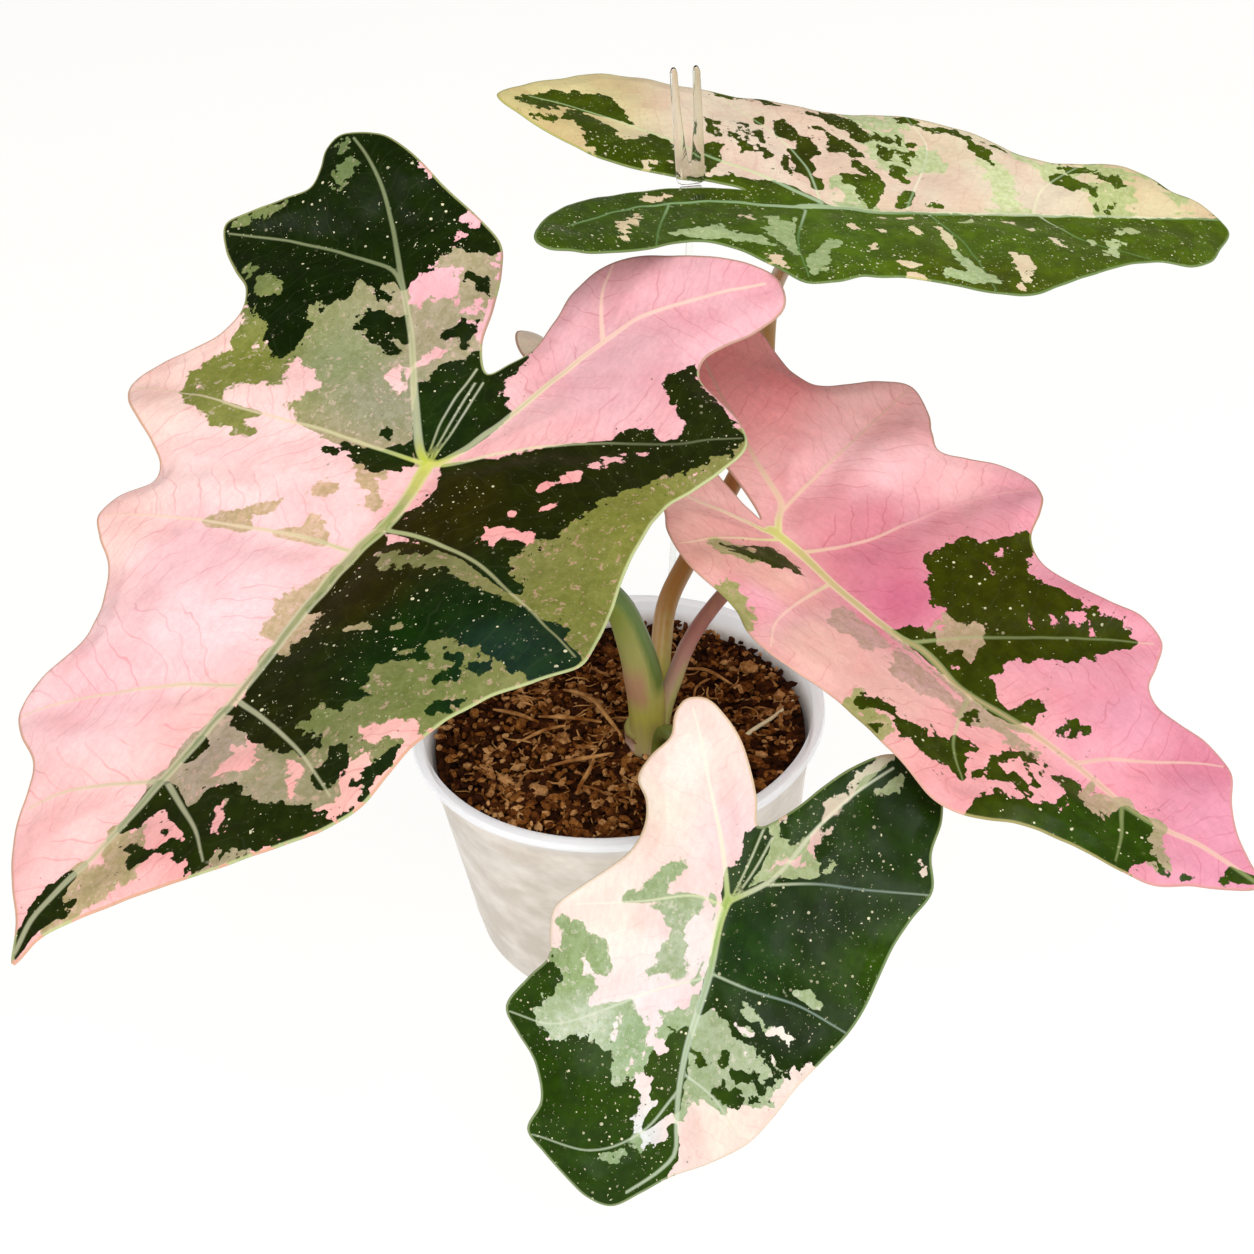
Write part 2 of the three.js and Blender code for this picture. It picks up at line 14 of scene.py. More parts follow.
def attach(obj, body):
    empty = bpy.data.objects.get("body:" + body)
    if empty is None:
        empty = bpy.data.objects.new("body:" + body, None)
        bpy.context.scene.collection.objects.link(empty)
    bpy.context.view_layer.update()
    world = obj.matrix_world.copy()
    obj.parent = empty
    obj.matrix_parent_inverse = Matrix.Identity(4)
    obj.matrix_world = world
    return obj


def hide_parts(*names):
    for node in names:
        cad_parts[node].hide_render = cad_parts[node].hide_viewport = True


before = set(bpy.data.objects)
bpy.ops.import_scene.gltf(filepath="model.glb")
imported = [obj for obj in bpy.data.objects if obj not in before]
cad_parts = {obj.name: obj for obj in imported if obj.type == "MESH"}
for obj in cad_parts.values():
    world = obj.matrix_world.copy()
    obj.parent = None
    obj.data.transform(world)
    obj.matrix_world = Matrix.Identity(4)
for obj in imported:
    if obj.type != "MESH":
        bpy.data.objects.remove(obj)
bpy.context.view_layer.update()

# Camera: it stands in front of the plant, a little over half a metre from the middle of the rim,
# looks down on it and leans a little to one side, as the photograph was taken.
MM = 0.001
POT_HEIGHT = 74 * MM
CAMERA_DISTANCE = 516 * MM
CAMERA_ELEVATION = math.radians(36.5)
CAMERA_PITCH = math.radians(33.9)
CAMERA_LEAN = math.radians(-5.0)
CAMERA_YAW = math.radians(0.7)
FIELD_OF_VIEW = math.radians(40.0)

bpy.ops.object.select_all(action="DESELECT")
camera_place = Vector((0, -math.cos(CAMERA_ELEVATION), math.sin(CAMERA_ELEVATION))) * CAMERA_DISTANCE
camera_place.z += POT_HEIGHT
bpy.ops.object.camera_add(location=camera_place)
camera = bpy.context.object
camera.name = "camera"
aim = Matrix.Rotation(-CAMERA_YAW, 3, "Z") @ Matrix.Rotation(math.pi / 2 - CAMERA_PITCH, 3, "X")
camera.rotation_euler = (aim @ Matrix.Rotation(CAMERA_LEAN, 3, "Z")).to_euler()
camera.data.angle = FIELD_OF_VIEW
camera.data.clip_start = 0.02
bpy.context.scene.camera = camera

# Floor and studio light: a seamless white sweep, so bright that only a breath of shadow is left,
# under a white room with large soft boxes over the plant.
bpy.context.scene.view_settings.view_transform = "Standard"


def linear(code):
    """A colour code such as #a0b0c0, as linear red, green, blue and full alpha."""
    parts = [int(code[i:i + 2], 16) / 255 for i in (1, 3, 5)]
    return tuple((c / 12.92 if c <= 0.04045 else ((c + 0.055) / 1.055) ** 2.4) for c in parts) + (1.0,)


def new_material(name):
    """A new node material, with its tree and its surface shader."""
    made = bpy.data.materials.new(name)
    made.use_nodes = True
    return made, made.node_tree, made.node_tree.nodes["Principled BSDF"]


def feed(tree, socket, value):
    """Links a socket, or sets it where the value is a plain number or colour."""
    if isinstance(value, bpy.types.NodeSocket):
        tree.links.new(value, socket)
    else:
        socket.default_value = value


def add_node(tree, kind, inputs, output=0, **settings):
    """Adds a shader node, feeds its inputs by name or number, and returns one output."""
    made = tree.nodes.new("ShaderNode" + kind)
    for key, value in settings.items():
        setattr(made, key, value)
    for key, value in inputs.items():
        feed(tree, made.inputs[key], value)
    return made.outputs[output]


FLOOR_SIZE = 14
FLOOR_GLOW = 0.93
bpy.ops.mesh.primitive_plane_add(size=FLOOR_SIZE, location=(0, 0, -0.2 * MM))
floor = bpy.context.object
floor.name = "floor"
floor_finish, tree, shader = new_material("white_sweep")
shader.inputs["Base Color"].default_value = (0.11, 0.105, 0.095, 1)
shader.inputs["Roughness"].default_value = 0.9
shader.inputs["Specular IOR Level"].default_value = 0.1
shader.inputs["Emission Color"].default_value = (1, 0.995, 0.98, 1)
shader.inputs["Emission Strength"].default_value = FLOOR_GLOW
floor.data.materials.append(floor_finish)

room = bpy.data.worlds.new("white_room")
room.use_nodes = True
bpy.context.scene.world = room
room.node_tree.nodes["Background"].inputs["Color"].default_value = (1.0, 0.995, 0.985, 1)
room.node_tree.nodes["Background"].inputs["Strength"].default_value = 0.16

for name, place, size, power in [
    ("box_front", (0.25, -1.3, 1.35), 1.4, 33),
    ("box_right", (1.3, -0.35, 1.1), 0.6, 9),
    ("box_left", (-1.4, -0.5, 1.0), 0.6, 7),
]:
    bpy.ops.object.light_add(type="AREA", location=place)
    lamp = bpy.context.object
    lamp.name = name
    lamp.rotation_euler = (Vector((0, 0, 0.12)) - lamp.location).to_track_quat("-Z", "Y").to_euler()
    lamp.data.size = size
    lamp.data.energy = power

# Pot: a thin soft plastic nursery pot, moulded in one piece, milky and translucent, with a rolled
# rim, a fine moulded ring under it and drain holes in its floor. A smooth turned skin of the same
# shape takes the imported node's place.
RIM_RADIUS = 62 * MM
RIM_DEPTH = 3.6 * MM
WALL_TOP_RADIUS = 58.8 * MM
BASE_RADIUS = 49.5 * MM
WALL = 1.1 * MM
POT_FLOOR = 1.6 * MM
STEP_HEIGHT = 58 * MM
STEP_OUT = 0.5 * MM
POT_SIDES = 128
DRAIN_HOLES = 6
DRAIN_RADIUS = 3.5 * MM
DRAIN_CIRCLE = 30 * MM


def wall_radius(z):
    """Outside radius of the pot's wall at a height."""
    return BASE_RADIUS + (WALL_TOP_RADIUS - BASE_RADIUS) * z / POT_HEIGHT


def mesh_piece(name, points, edges, faces):
    """A new piece from points, with everything else left deselected."""
    bpy.ops.object.select_all(action="DESELECT")
    data = bpy.data.meshes.new(name)
    data.from_pydata([tuple(p) for p in points], edges, faces)
    piece = bpy.data.objects.new(name, data)
    bpy.context.scene.collection.objects.link(piece)
    piece.select_set(True)
    bpy.context.view_layer.objects.active = piece
    return piece


def spun(name, profile, sides):
    """A profile of (radius, height) points turned once round the upright axis."""
    points = [(r, 0, z) for r, z in profile]
    piece = mesh_piece(name, points, [(i, i + 1) for i in range(len(points) - 1)], [])
    bpy.ops.object.mode_set(mode="EDIT")
    bpy.ops.mesh.select_all(action="SELECT")
    bpy.ops.mesh.spin(steps=sides, angle=2 * math.pi, center=(0, 0, 0), axis=(0, 0, 1))
    bpy.ops.mesh.select_all(action="SELECT")
    bpy.ops.mesh.remove_doubles(threshold=0.01 * MM)
    bpy.ops.mesh.normals_make_consistent(inside=False)
    bpy.ops.object.mode_set(mode="OBJECT")
    return piece


def smooth_line(points, closed, spacing):
    """Evenly spaced points on a smooth curve through the given ones, as an array."""
    knots = np.array(points, float)
    count = len(knots)
    if closed:
        knots = np.concatenate([knots[-1:], knots, knots[:2]])
    else:
        knots = np.concatenate([2 * knots[:1] - knots[1:2], knots, 2 * knots[-1:] - knots[-2:-1]])
    fine = []
    for i in range(count if closed else count - 1):
        a, b, c, d = knots[i:i + 4]
        t1 = np.linalg.norm(b - a) ** 0.5
        t2 = t1 + np.linalg.norm(c - b) ** 0.5
        t3 = t2 + np.linalg.norm(d - c) ** 0.5
        t = np.linspace(t1, t2, 17)[:-1, None]
        ab = (t1 - t) / t1 * a + t / t1 * b
        bc = (t2 - t) / (t2 - t1) * b + (t - t1) / (t2 - t1) * c
        cd = (t3 - t) / (t3 - t2) * c + (t - t2) / (t3 - t2) * d
        low = (t2 - t) / t2 * ab + t / t2 * bc
        high = (t3 - t) / (t3 - t1) * bc + (t - t1) / (t3 - t1) * cd
        fine.append((t2 - t) / (t2 - t1) * low + (t - t1) / (t2 - t1) * high)
    fine = np.concatenate(fine + [knots[1:2] if closed else knots[-2:-1]])
    along = np.concatenate([[0], np.cumsum(np.linalg.norm(np.diff(fine, axis=0), axis=1))])
    places = np.linspace(0, along[-1], max(2, round(along[-1] / spacing)) + 1)
    if closed:
        places = places[:-1]
    return np.stack([np.interp(places, along, fine[:, k]) for k in range(fine.shape[1])], 1)


def colour_ramp(tree, value, stops):
    """A colour band fed by a value. stops gives each place on the band and its colour code."""
    band = tree.nodes.new("ShaderNodeValToRGB")
    for element, (at, code) in zip(band.color_ramp.elements, (stops[0], stops[-1])):
        element.position = at
        element.color = linear(code)
    for at, code in stops[1:-1]:
        band.color_ramp.elements.new(at).color = linear(code)
    tree.links.new(value, band.inputs["Fac"])
    return band.outputs["Color"]


def mixed_colour(tree, share, first, second, way="MIX"):
    """One colour laid over another by a share, or multiplied into it."""
    inputs = {0: share, 6: first, 7: second}
    return add_node(tree, "Mix", inputs, output=2, data_type="RGBA", blend_type=way)


outer_wall = [
    (BASE_RADIUS - 1.4 * MM, 0), (BASE_RADIUS - 0.4 * MM, 0.35 * MM), (BASE_RADIUS, 1.4 * MM),
    (wall_radius(9 * MM), 9 * MM), (wall_radius(9.6 * MM) + 0.15 * MM, 9.6 * MM),
    (wall_radius(10.4 * MM), 10.4 * MM), (wall_radius(28 * MM), 28 * MM),
    (wall_radius(44 * MM), 44 * MM), (wall_radius(STEP_HEIGHT - 0.5 * MM), STEP_HEIGHT - 0.5 * MM),
    (wall_radius(STEP_HEIGHT) + 0.25 * MM, STEP_HEIGHT),
    (wall_radius(STEP_HEIGHT) + STEP_OUT, STEP_HEIGHT + 0.9 * MM),
    (wall_radius(66 * MM) + STEP_OUT, 66 * MM),
    (wall_radius(POT_HEIGHT - RIM_DEPTH) + STEP_OUT, POT_HEIGHT - RIM_DEPTH),
]
rolled_rim = [
    (RIM_RADIUS - 1.3 * MM, POT_HEIGHT - RIM_DEPTH + 0.05 * MM),
    (RIM_RADIUS - 0.5 * MM, POT_HEIGHT - RIM_DEPTH + 0.3 * MM),
    (RIM_RADIUS - 0.05 * MM, POT_HEIGHT - RIM_DEPTH + 1.1 * MM),
    (RIM_RADIUS, POT_HEIGHT - 1.5 * MM), (RIM_RADIUS - 0.3 * MM, POT_HEIGHT - 0.5 * MM),
    (RIM_RADIUS - 1.0 * MM, POT_HEIGHT - 0.08 * MM), (RIM_RADIUS - 1.8 * MM, POT_HEIGHT),
    (WALL_TOP_RADIUS + 0.7 * MM, POT_HEIGHT - 0.1 * MM),
    (WALL_TOP_RADIUS - WALL + STEP_OUT + 0.2 * MM, POT_HEIGHT - 0.9 * MM),
]
inner_wall = [
    (wall_radius(66 * MM) - WALL + STEP_OUT, 66 * MM), (wall_radius(STEP_HEIGHT) - WALL, STEP_HEIGHT),
    (wall_radius(28 * MM) - WALL, 28 * MM), (BASE_RADIUS - WALL, POT_FLOOR + 1.2 * MM),
    (BASE_RADIUS - WALL - 1.2 * MM, POT_FLOOR), (DRAIN_CIRCLE, POT_FLOOR), (0, POT_FLOOR),
]
pot = spun("pot_skin", [(0, 0), (DRAIN_CIRCLE, 0)] + outer_wall + rolled_rim + inner_wall, POT_SIDES)
for i in range(DRAIN_HOLES):
    turn = 2 * math.pi * i / DRAIN_HOLES
    place = (math.cos(turn) * DRAIN_CIRCLE, math.sin(turn) * DRAIN_CIRCLE, 0)
    bpy.ops.mesh.primitive_cylinder_add(vertices=24, radius=DRAIN_RADIUS, depth=10 * MM, location=place)
    punch = bpy.context.object
    bpy.context.view_layer.objects.active = pot
    cut = pot.modifiers.new("drain", "BOOLEAN")
    cut.operation = "DIFFERENCE"
    cut.object = punch
    bpy.ops.object.modifier_apply(modifier=cut.name)
    bpy.data.objects.remove(punch)
bpy.ops.object.select_all(action="DESELECT")
pot.select_set(True)
bpy.ops.object.shade_smooth_by_angle(angle=math.radians(32))

pot_finish, tree, shader = new_material("milky_plastic")
place = add_node(tree, "TexCoord", {}, output="Object")
stretched = add_node(tree, "Mapping", {"Vector": place, "Scale": (1, 1, 1.7)})
cloud = add_node(tree, "TexNoise", {"Vector": stretched, "Scale": 62, "Detail": 3, "Roughness": 0.6})
clouded = colour_ramp(tree, cloud, [(0.38, "#d4c8b9"), (0.66, "#f2e9de")])
height = add_node(tree, "SeparateXYZ", {"Vector": place}, output="Z")
above_soil = add_node(tree, "MapRange", {"Value": height, "From Min": 66 * MM, "From Max": 70.4 * MM})
feed(tree, shader.inputs["Base Color"], mixed_colour(tree, above_soil, clouded, linear("#f0f1f4")))
shader.inputs["Roughness"].default_value = 0.36
feed(tree, shader.inputs["Alpha"], add_node(tree, "MapRange", {
    "Value": height, "From Min": 64 * MM, "From Max": 71 * MM, "To Min": 0.92, "To Max": 0.6}))
# painted glow: the wall glows faintly, more from the soil line up to the rim, as painted light standing
# in for light passing through the plastic
shader.inputs["Emission Color"].default_value = linear("#f4f5f8")
feed(tree, shader.inputs["Emission Strength"], add_node(tree, "MapRange", {
    "Value": height, "From Min": 63 * MM, "From Max": 69 * MM, "To Min": 0.03, "To Max": 0.2}))
shader.inputs["Subsurface Weight"].default_value = 0.25
shader.inputs["Subsurface Radius"].default_value = (0.006, 0.006, 0.006)
pot.data.materials.append(pot_finish)
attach(pot, "root")
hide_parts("pot")

# Soil: coco chips, bark crumbs and tan coco fibre, loose in the pot to just under the rim. A bumpy
# body fills the pot, crumbs lie on it with their undersides sunk in, and fibres lie over them.
SOIL_LEVEL = 64.5 * MM
SOIL_GAP = 0.35 * MM
STEM_PLACE = Vector((8 * MM, -7.6 * MM))
STEM_ROOM = 7.2 * MM
SOIL_EDGE_START = 34 * MM
SOIL_EDGE_RISE = 0.12
CRUMB_SIZES = (0.55, 1.55)
CRUMB_LIFTS = (-0.3, 2.3)
CHIP_SIZES = (1.7, 2.9)
CHIP_LIFTS = (0.2, 1.6)
FIBRE_STEP = 1.5
FIBRE_LOWEST = 0.6 * MM
FIBRE_HIGHEST = 3.0 * MM
FIBRE_WALL_ROOM = 1.2 * MM
random.seed(411)


def soil_radius(z):
    """Radius of the soil at a height, just inside the wall."""
    return wall_radius(z) - WALL - SOIL_GAP


ground = spun("soil_body", [
    (0, POT_FLOOR + 0.2 * MM), (BASE_RADIUS - WALL - 1.6 * MM, POT_FLOOR + 0.2 * MM),
    (soil_radius(8 * MM), 8 * MM), (soil_radius(36 * MM), 36 * MM),
    (soil_radius(SOIL_LEVEL - 2 * MM), SOIL_LEVEL - 2 * MM),
    (soil_radius(SOIL_LEVEL) - 0.4 * MM, SOIL_LEVEL + 0.6 * MM), (44 * MM, SOIL_LEVEL + 0.5 * MM),
    (34 * MM, SOIL_LEVEL), (24 * MM, SOIL_LEVEL), (14 * MM, SOIL_LEVEL), (0, SOIL_LEVEL + 0.4 * MM)], 96)


def crumb_shape():
    """One rough crumb, about a unit in size: an icosphere pushed out of round."""
    bpy.ops.object.select_all(action="DESELECT")
    bpy.ops.mesh.primitive_ico_sphere_add(subdivisions=1, radius=1)
    rough = bpy.context.object
    corners = [v.co * random.uniform(0.7, 1.15) for v in rough.data.vertices]
    sides = [tuple(p.vertices) for p in rough.data.polygons]
    bpy.data.objects.remove(rough)
    return corners, sides


CRUMB_SHAPES = [crumb_shape() for _ in range(7)]
CRUMBS = 3300
LARGE_CHIPS = 150
crumb_points = []
crumb_faces = []
crumb_tones = []
for i in range(CRUMBS + LARGE_CHIPS):
    large = i >= CRUMBS
    far = math.sqrt(random.random()) * (soil_radius(SOIL_LEVEL) - (3.4 if large else 1.9) * MM)
    turn = random.uniform(0, 2 * math.pi)
    x = math.cos(turn) * far
    y = math.sin(turn) * far
    if (Vector((x, y)) - STEM_PLACE).length < STEM_ROOM:
        continue
    size = random.uniform(*(CHIP_SIZES if large else CRUMB_SIZES)) * MM
    lift = SOIL_LEVEL + random.uniform(*(CHIP_LIFTS if large else CRUMB_LIFTS)) * MM
    lift += max(0, far - SOIL_EDGE_START) * SOIL_EDGE_RISE
    turned = Matrix.Rotation(random.uniform(0, 6.28), 3, "Z")
    turned = turned @ Matrix.Rotation(random.uniform(-0.7, 0.7), 3, "X")
    scale = (random.uniform(0.9, 1.9), random.uniform(0.7, 1.1), random.uniform(0.5, 0.9))
    stretch = Matrix.Diagonal(scale)
    corners, sides = random.choice(CRUMB_SHAPES)
    first = len(crumb_points)
    for corner in corners:
        crumb_points.append(turned @ stretch @ corner * size + Vector((x, y, lift)))
    crumb_faces += [tuple(first + k for k in side) for side in sides]
    crumb_tones += [random.random() ** (0.8 if large else 1.25)] * len(corners)
crumbs = mesh_piece("soil_crumbs", crumb_points, [], crumb_faces)
tone = crumbs.data.attributes.new("tone", "FLOAT", "POINT")
tone.data.foreach_set("value", crumb_tones)
bpy.ops.object.shade_smooth_by_angle(angle=math.radians(40))

soil_finish, tree, shader = new_material("coco_and_bark")
place = add_node(tree, "TexCoord", {}, output="Object")
tone = add_node(tree, "Attribute", {}, output="Fac", attribute_name="tone")
grain = add_node(tree, "TexNoise", {"Vector": place, "Scale": 900, "Detail": 4, "Roughness": 0.65})
drift = add_node(tree, "TexNoise", {"Vector": place, "Scale": 52, "Detail": 2})
mixed = add_node(tree, "Math", {0: tone, 1: grain}, operation="ADD")
mixed = add_node(tree, "Math", {0: mixed, 1: drift}, operation="ADD")
spread = add_node(tree, "MapRange", {"Value": mixed, "From Min": 0.62, "From Max": 2.05})
feed(tree, shader.inputs["Base Color"], colour_ramp(tree, spread, [
    (0.0, "#140500"), (0.4, "#341502"), (0.58, "#582d0b"), (0.78, "#875320"), (1.0, "#c4935e")]))
shader.inputs["Roughness"].default_value = 0.85
shader.inputs["Specular IOR Level"].default_value = 0.12
bump = add_node(tree, "Bump", {"Height": grain, "Strength": 0.8, "Distance": 0.4 * MM})
tree.links.new(bump, shader.inputs["Normal"])

body_finish, tree, shader = new_material("dark_soil")
place = add_node(tree, "TexCoord", {}, output="Object")
grain = add_node(tree, "TexNoise", {"Vector": place, "Scale": 230, "Detail": 5, "Roughness": 0.7})
feed(tree, shader.inputs["Base Color"], colour_ramp(tree, grain, [(0.42, "#120400"), (0.68, "#5c300c")]))
shader.inputs["Roughness"].default_value = 0.95
shader.inputs["Specular IOR Level"].default_value = 0.12
bump = add_node(tree, "Bump", {"Height": grain, "Strength": 1.0, "Distance": 1.2 * MM})
tree.links.new(bump, shader.inputs["Normal"])


def strands(name, lines, thickness, sides):
    """Round strands through lists of points, as one mesh. thickness gives each line's radii."""
    curve = bpy.data.curves.new(name, "CURVE")
    curve.dimensions = "3D"
    curve.bevel_depth = 1.0
    curve.bevel_resolution = sides
    curve.use_fill_caps = True
    for points, radii in zip(lines, thickness):
        spline = curve.splines.new("POLY")
        spline.points.add(len(points) - 1)
        for spot, point, radius in zip(spline.points, points, radii):
            spot.co = (*point, 1)
            spot.radius = radius
    piece = bpy.data.objects.new(name, curve)
    bpy.context.scene.collection.objects.link(piece)
    bpy.ops.object.select_all(action="DESELECT")
    piece.select_set(True)
    bpy.context.view_layer.objects.active = piece
    bpy.ops.object.convert(target="MESH")
    bpy.ops.object.shade_smooth_by_angle(angle=math.radians(60))
    return bpy.context.object


FIBRES = 230
fibre_lines = []
fibre_radii = []
for _ in range(FIBRES):
    far = math.sqrt(random.random()) * (soil_radius(SOIL_LEVEL) - 6 * MM)
    turn = random.uniform(0, 2 * math.pi)
    heading = random.uniform(0, 2 * math.pi)
    lift = SOIL_LEVEL + random.uniform(0.8, 2.6) * MM
    spot = Vector((math.cos(turn) * far, math.sin(turn) * far, lift))
    steps = random.randint(4, 9)
    bend = random.uniform(-0.45, 0.45)
    line = []
    for k in range(steps):
        line.append(spot.copy())
        heading += bend + random.uniform(-0.3, 0.3)
        onward = Vector((math.cos(heading), math.sin(heading), random.uniform(-0.22, 0.22)))
        spot += onward * FIBRE_STEP * MM
        reach = spot.xy.length
        if reach > soil_radius(SOIL_LEVEL) - FIBRE_WALL_ROOM:
            spot.xy *= (soil_radius(SOIL_LEVEL) - FIBRE_WALL_ROOM) / reach
        spot.z = min(max(spot.z, SOIL_LEVEL + FIBRE_LOWEST), SOIL_LEVEL + FIBRE_HIGHEST)
    if min((p.xy - STEM_PLACE).length for p in line) < STEM_ROOM:
        continue
    thick = random.uniform(0.16, 0.42) * MM
    fibre_lines.append(line)
    fibre_radii.append([thick * (1 if 0 < k < steps - 1 else 0.4) for k in range(steps)])

# The longest fibres and old roots, where the photograph shows them: left of the stem and behind it
OLD_ROOTS = [
    ([(-16, 22, 66), (-12, 16, 69), (-6.5, 9, 70), (-3, 2, 68.5), (0, -4, 67), (1.5, -9, 66)], 0.8),
    ([(-24, 8, 67), (-18, 5, 68.4), (-11, 3.5, 68), (-5, 2, 67.2)], 0.65),
    ([(-21, -17, 67.4), (-14, -16.5, 68.2), (-8, -15.5, 68), (-3, -14, 67.5)], 0.7),
    ([(-8, -15.5, 68), (-9.5, -21, 68), (-12.5, -27, 67.4), (-14, -31, 67)], 0.75),
    ([(-38, 14, 67), (-30, 8, 68.6), (-24, 4.5, 67.6)], 0.7),
    ([(-29, -4, 67.8), (-22, -1, 68.6), (-16, 1.5, 67.6)], 0.6),
    ([(22, 26, 67), (29, 22, 68.4), (36, 15, 67.2)], 0.6),
    ([(16, 4, 67), (24, 8, 68.2), (31, 8, 67.4)], 0.5),
]
for points, thick in OLD_ROOTS:
    line = smooth_line(points, False, 1.2) * MM
    fibre_lines.append([Vector(p) for p in line])
    shares = [k / (len(line) - 1) for k in range(len(line))]
    fibre_radii.append([thick * MM * (0.55 + 0.45 * math.sin(math.pi * share)) for share in shares])
fibres = strands("soil_fibres", fibre_lines, fibre_radii, 1)

fibre_finish, tree, shader = new_material("coco_fibre")
place = add_node(tree, "TexCoord", {}, output="Object")
drift = add_node(tree, "TexNoise", {"Vector": place, "Scale": 160, "Detail": 3})
feed(tree, shader.inputs["Base Color"], colour_ramp(tree, drift, [(0.36, "#74400f"), (0.66, "#cd9a5e")]))
shader.inputs["Roughness"].default_value = 0.7
shader.inputs["Specular IOR Level"].default_value = 0.12

for piece, finish in [(ground, body_finish), (crumbs, soil_finish), (fibres, fibre_finish)]:
    piece.data.materials.clear()
    piece.data.materials.append(finish)
    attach(piece, "root")
    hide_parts("soil")

# Pale root: one cream root, thinning to its end, that has grown out of the soil at the right and
# lies over it to the rim.
ROOT_LINE = [(33, -13, 62.5), (36, -11.2, 65.6), (39, -9.5, 67.2), (46, -5, 68.2), (53.2, 1.5, 68.8)]
root_line = smooth_line(ROOT_LINE, False, 0.9) * MM
root_radii = [(0.85 - 0.4 * k / (len(root_line) - 1)) * MM for k in range(len(root_line))]
root = strands("pale_root_skin", [[Vector(p) for p in root_line]], [root_radii], 3)
root_finish, tree, shader = new_material("pale_root_skin")
place = add_node(tree, "TexCoord", {}, output="Object")
drift = add_node(tree, "TexNoise", {"Vector": place, "Scale": 210, "Detail": 3})
feed(tree, shader.inputs["Base Color"], mixed_colour(tree, drift, linear("#c9b27c"), linear("#efe6c9")))
shader.inputs["Roughness"].default_value = 0.55
root.data.materials.clear()
root.data.materials.append(root_finish)
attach(root, "root")
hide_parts("pale_root")

# Leaf shapes: each leaf is flat data in millimetres in its own plane, u along the midrib from the
# junction with its stalk to the tip, v to its right-hand side. The numbers that place and bend it
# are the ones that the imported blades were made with.
LEFT = dict(
    junction=(-39.4, -50, 187.4), heading=-122, rise=-12, roll=9, droop=0.6, back_droop=-5.5,
    right=(0.13, 1.8), left=(0.18, 1.7), twist=-1.4, wave=1.0, wave_length=40, wave_start=20)
RIGHT = dict(
    junction=(48.8, -8, 132.7), heading=-52, rise=-14, roll=2, droop=0.6, back_droop=-2,
    right=(0.3, 1.3), left=(0.28, 1.3), twist=-1.0, wave=0.9, wave_length=38, wave_start=18)
BACK = dict(
    junction=(64.6, 22, 214.8), heading=3, rise=-7, roll=-12.5, droop=1.2, back_droop=-2.8,
    right=(0.18, 0.8), left=(0.09, 0.8), twist=-0.8, wave=0.6, wave_length=38, wave_start=18)
FRONT = dict(
    junction=(23, -96, 81), heading=-115, rise=-46, roll=14, droop=3, back_droop=-1,
    right=(0.16, 1.8), left=(0.16, 1.8), twist=0, wave=0.9, wave_length=30, wave_start=12)


def leaf_points(leaf, u, v):
    """Places in millimetres on a leaf's bent, folded and waved surface."""
    heading, rise, roll = (math.radians(leaf[k]) for k in ("heading", "rise", "roll"))
    along = np.array([
        math.cos(heading) * math.cos(rise), math.sin(heading) * math.cos(rise), math.sin(rise)])
    level = np.cross(along, [0, 0, 1])
    level /= np.linalg.norm(level)
    side = math.cos(roll) * level + math.sin(roll) * np.cross(level, along)
    normal = np.cross(side, along)
    bend = np.where(u > 0, leaf["droop"], leaf["back_droop"])[:, None] / 1000
    turn = bend * u[:, None]
    tangent = np.cos(turn) * along - np.sin(turn) * normal
    upright = np.sin(turn) * along + np.cos(turn) * normal
    twist = leaf["twist"] * u[:, None] / 1000
    across = np.cos(twist) * side + np.sin(twist) * upright
    out = np.cross(across, tangent)
    reach = np.abs(v)[:, None]
    fold = np.where(v > 0, leaf["right"][0], leaf["left"][0])[:, None]
    curl = np.where(v > 0, leaf["right"][1], leaf["left"][1])[:, None]
    edge = np.clip((reach - 6) / 40, 0, 1.3) ** 1.5
    phase = (u[:, None] - 0.45 * reach - leaf["wave_start"]) / leaf["wave_length"]
    wave = leaf["wave"] * edge * np.cos(2 * math.pi * phase)
    height = fold * (np.hypot(reach, 3) - 3) - curl * reach ** 2 / 1000
    forward = np.sin(turn) / bend
    fall = -(1 - np.cos(turn)) / bend
    return (np.array(leaf["junction"]) + along * forward + normal * fall + across * v[:, None]
            + out * height + upright * wave)


def leaf_facing(leaf, u, v):
    """Directions that point up out of a leaf's surface."""
    step = 0.5
    du = leaf_points(leaf, u + step, v) - leaf_points(leaf, u - step, v)
    dv = leaf_points(leaf, u, v + step) - leaf_points(leaf, u, v - step)
    up = np.cross(dv, du)
    return up / np.linalg.norm(up, axis=1, keepdims=True)


# Stalks: one fleshy stalk for each leaf, round above and sheathed at the foot, out of one short
# crown. The left leaf's stalk is the stoutest and its sheath holds the others.

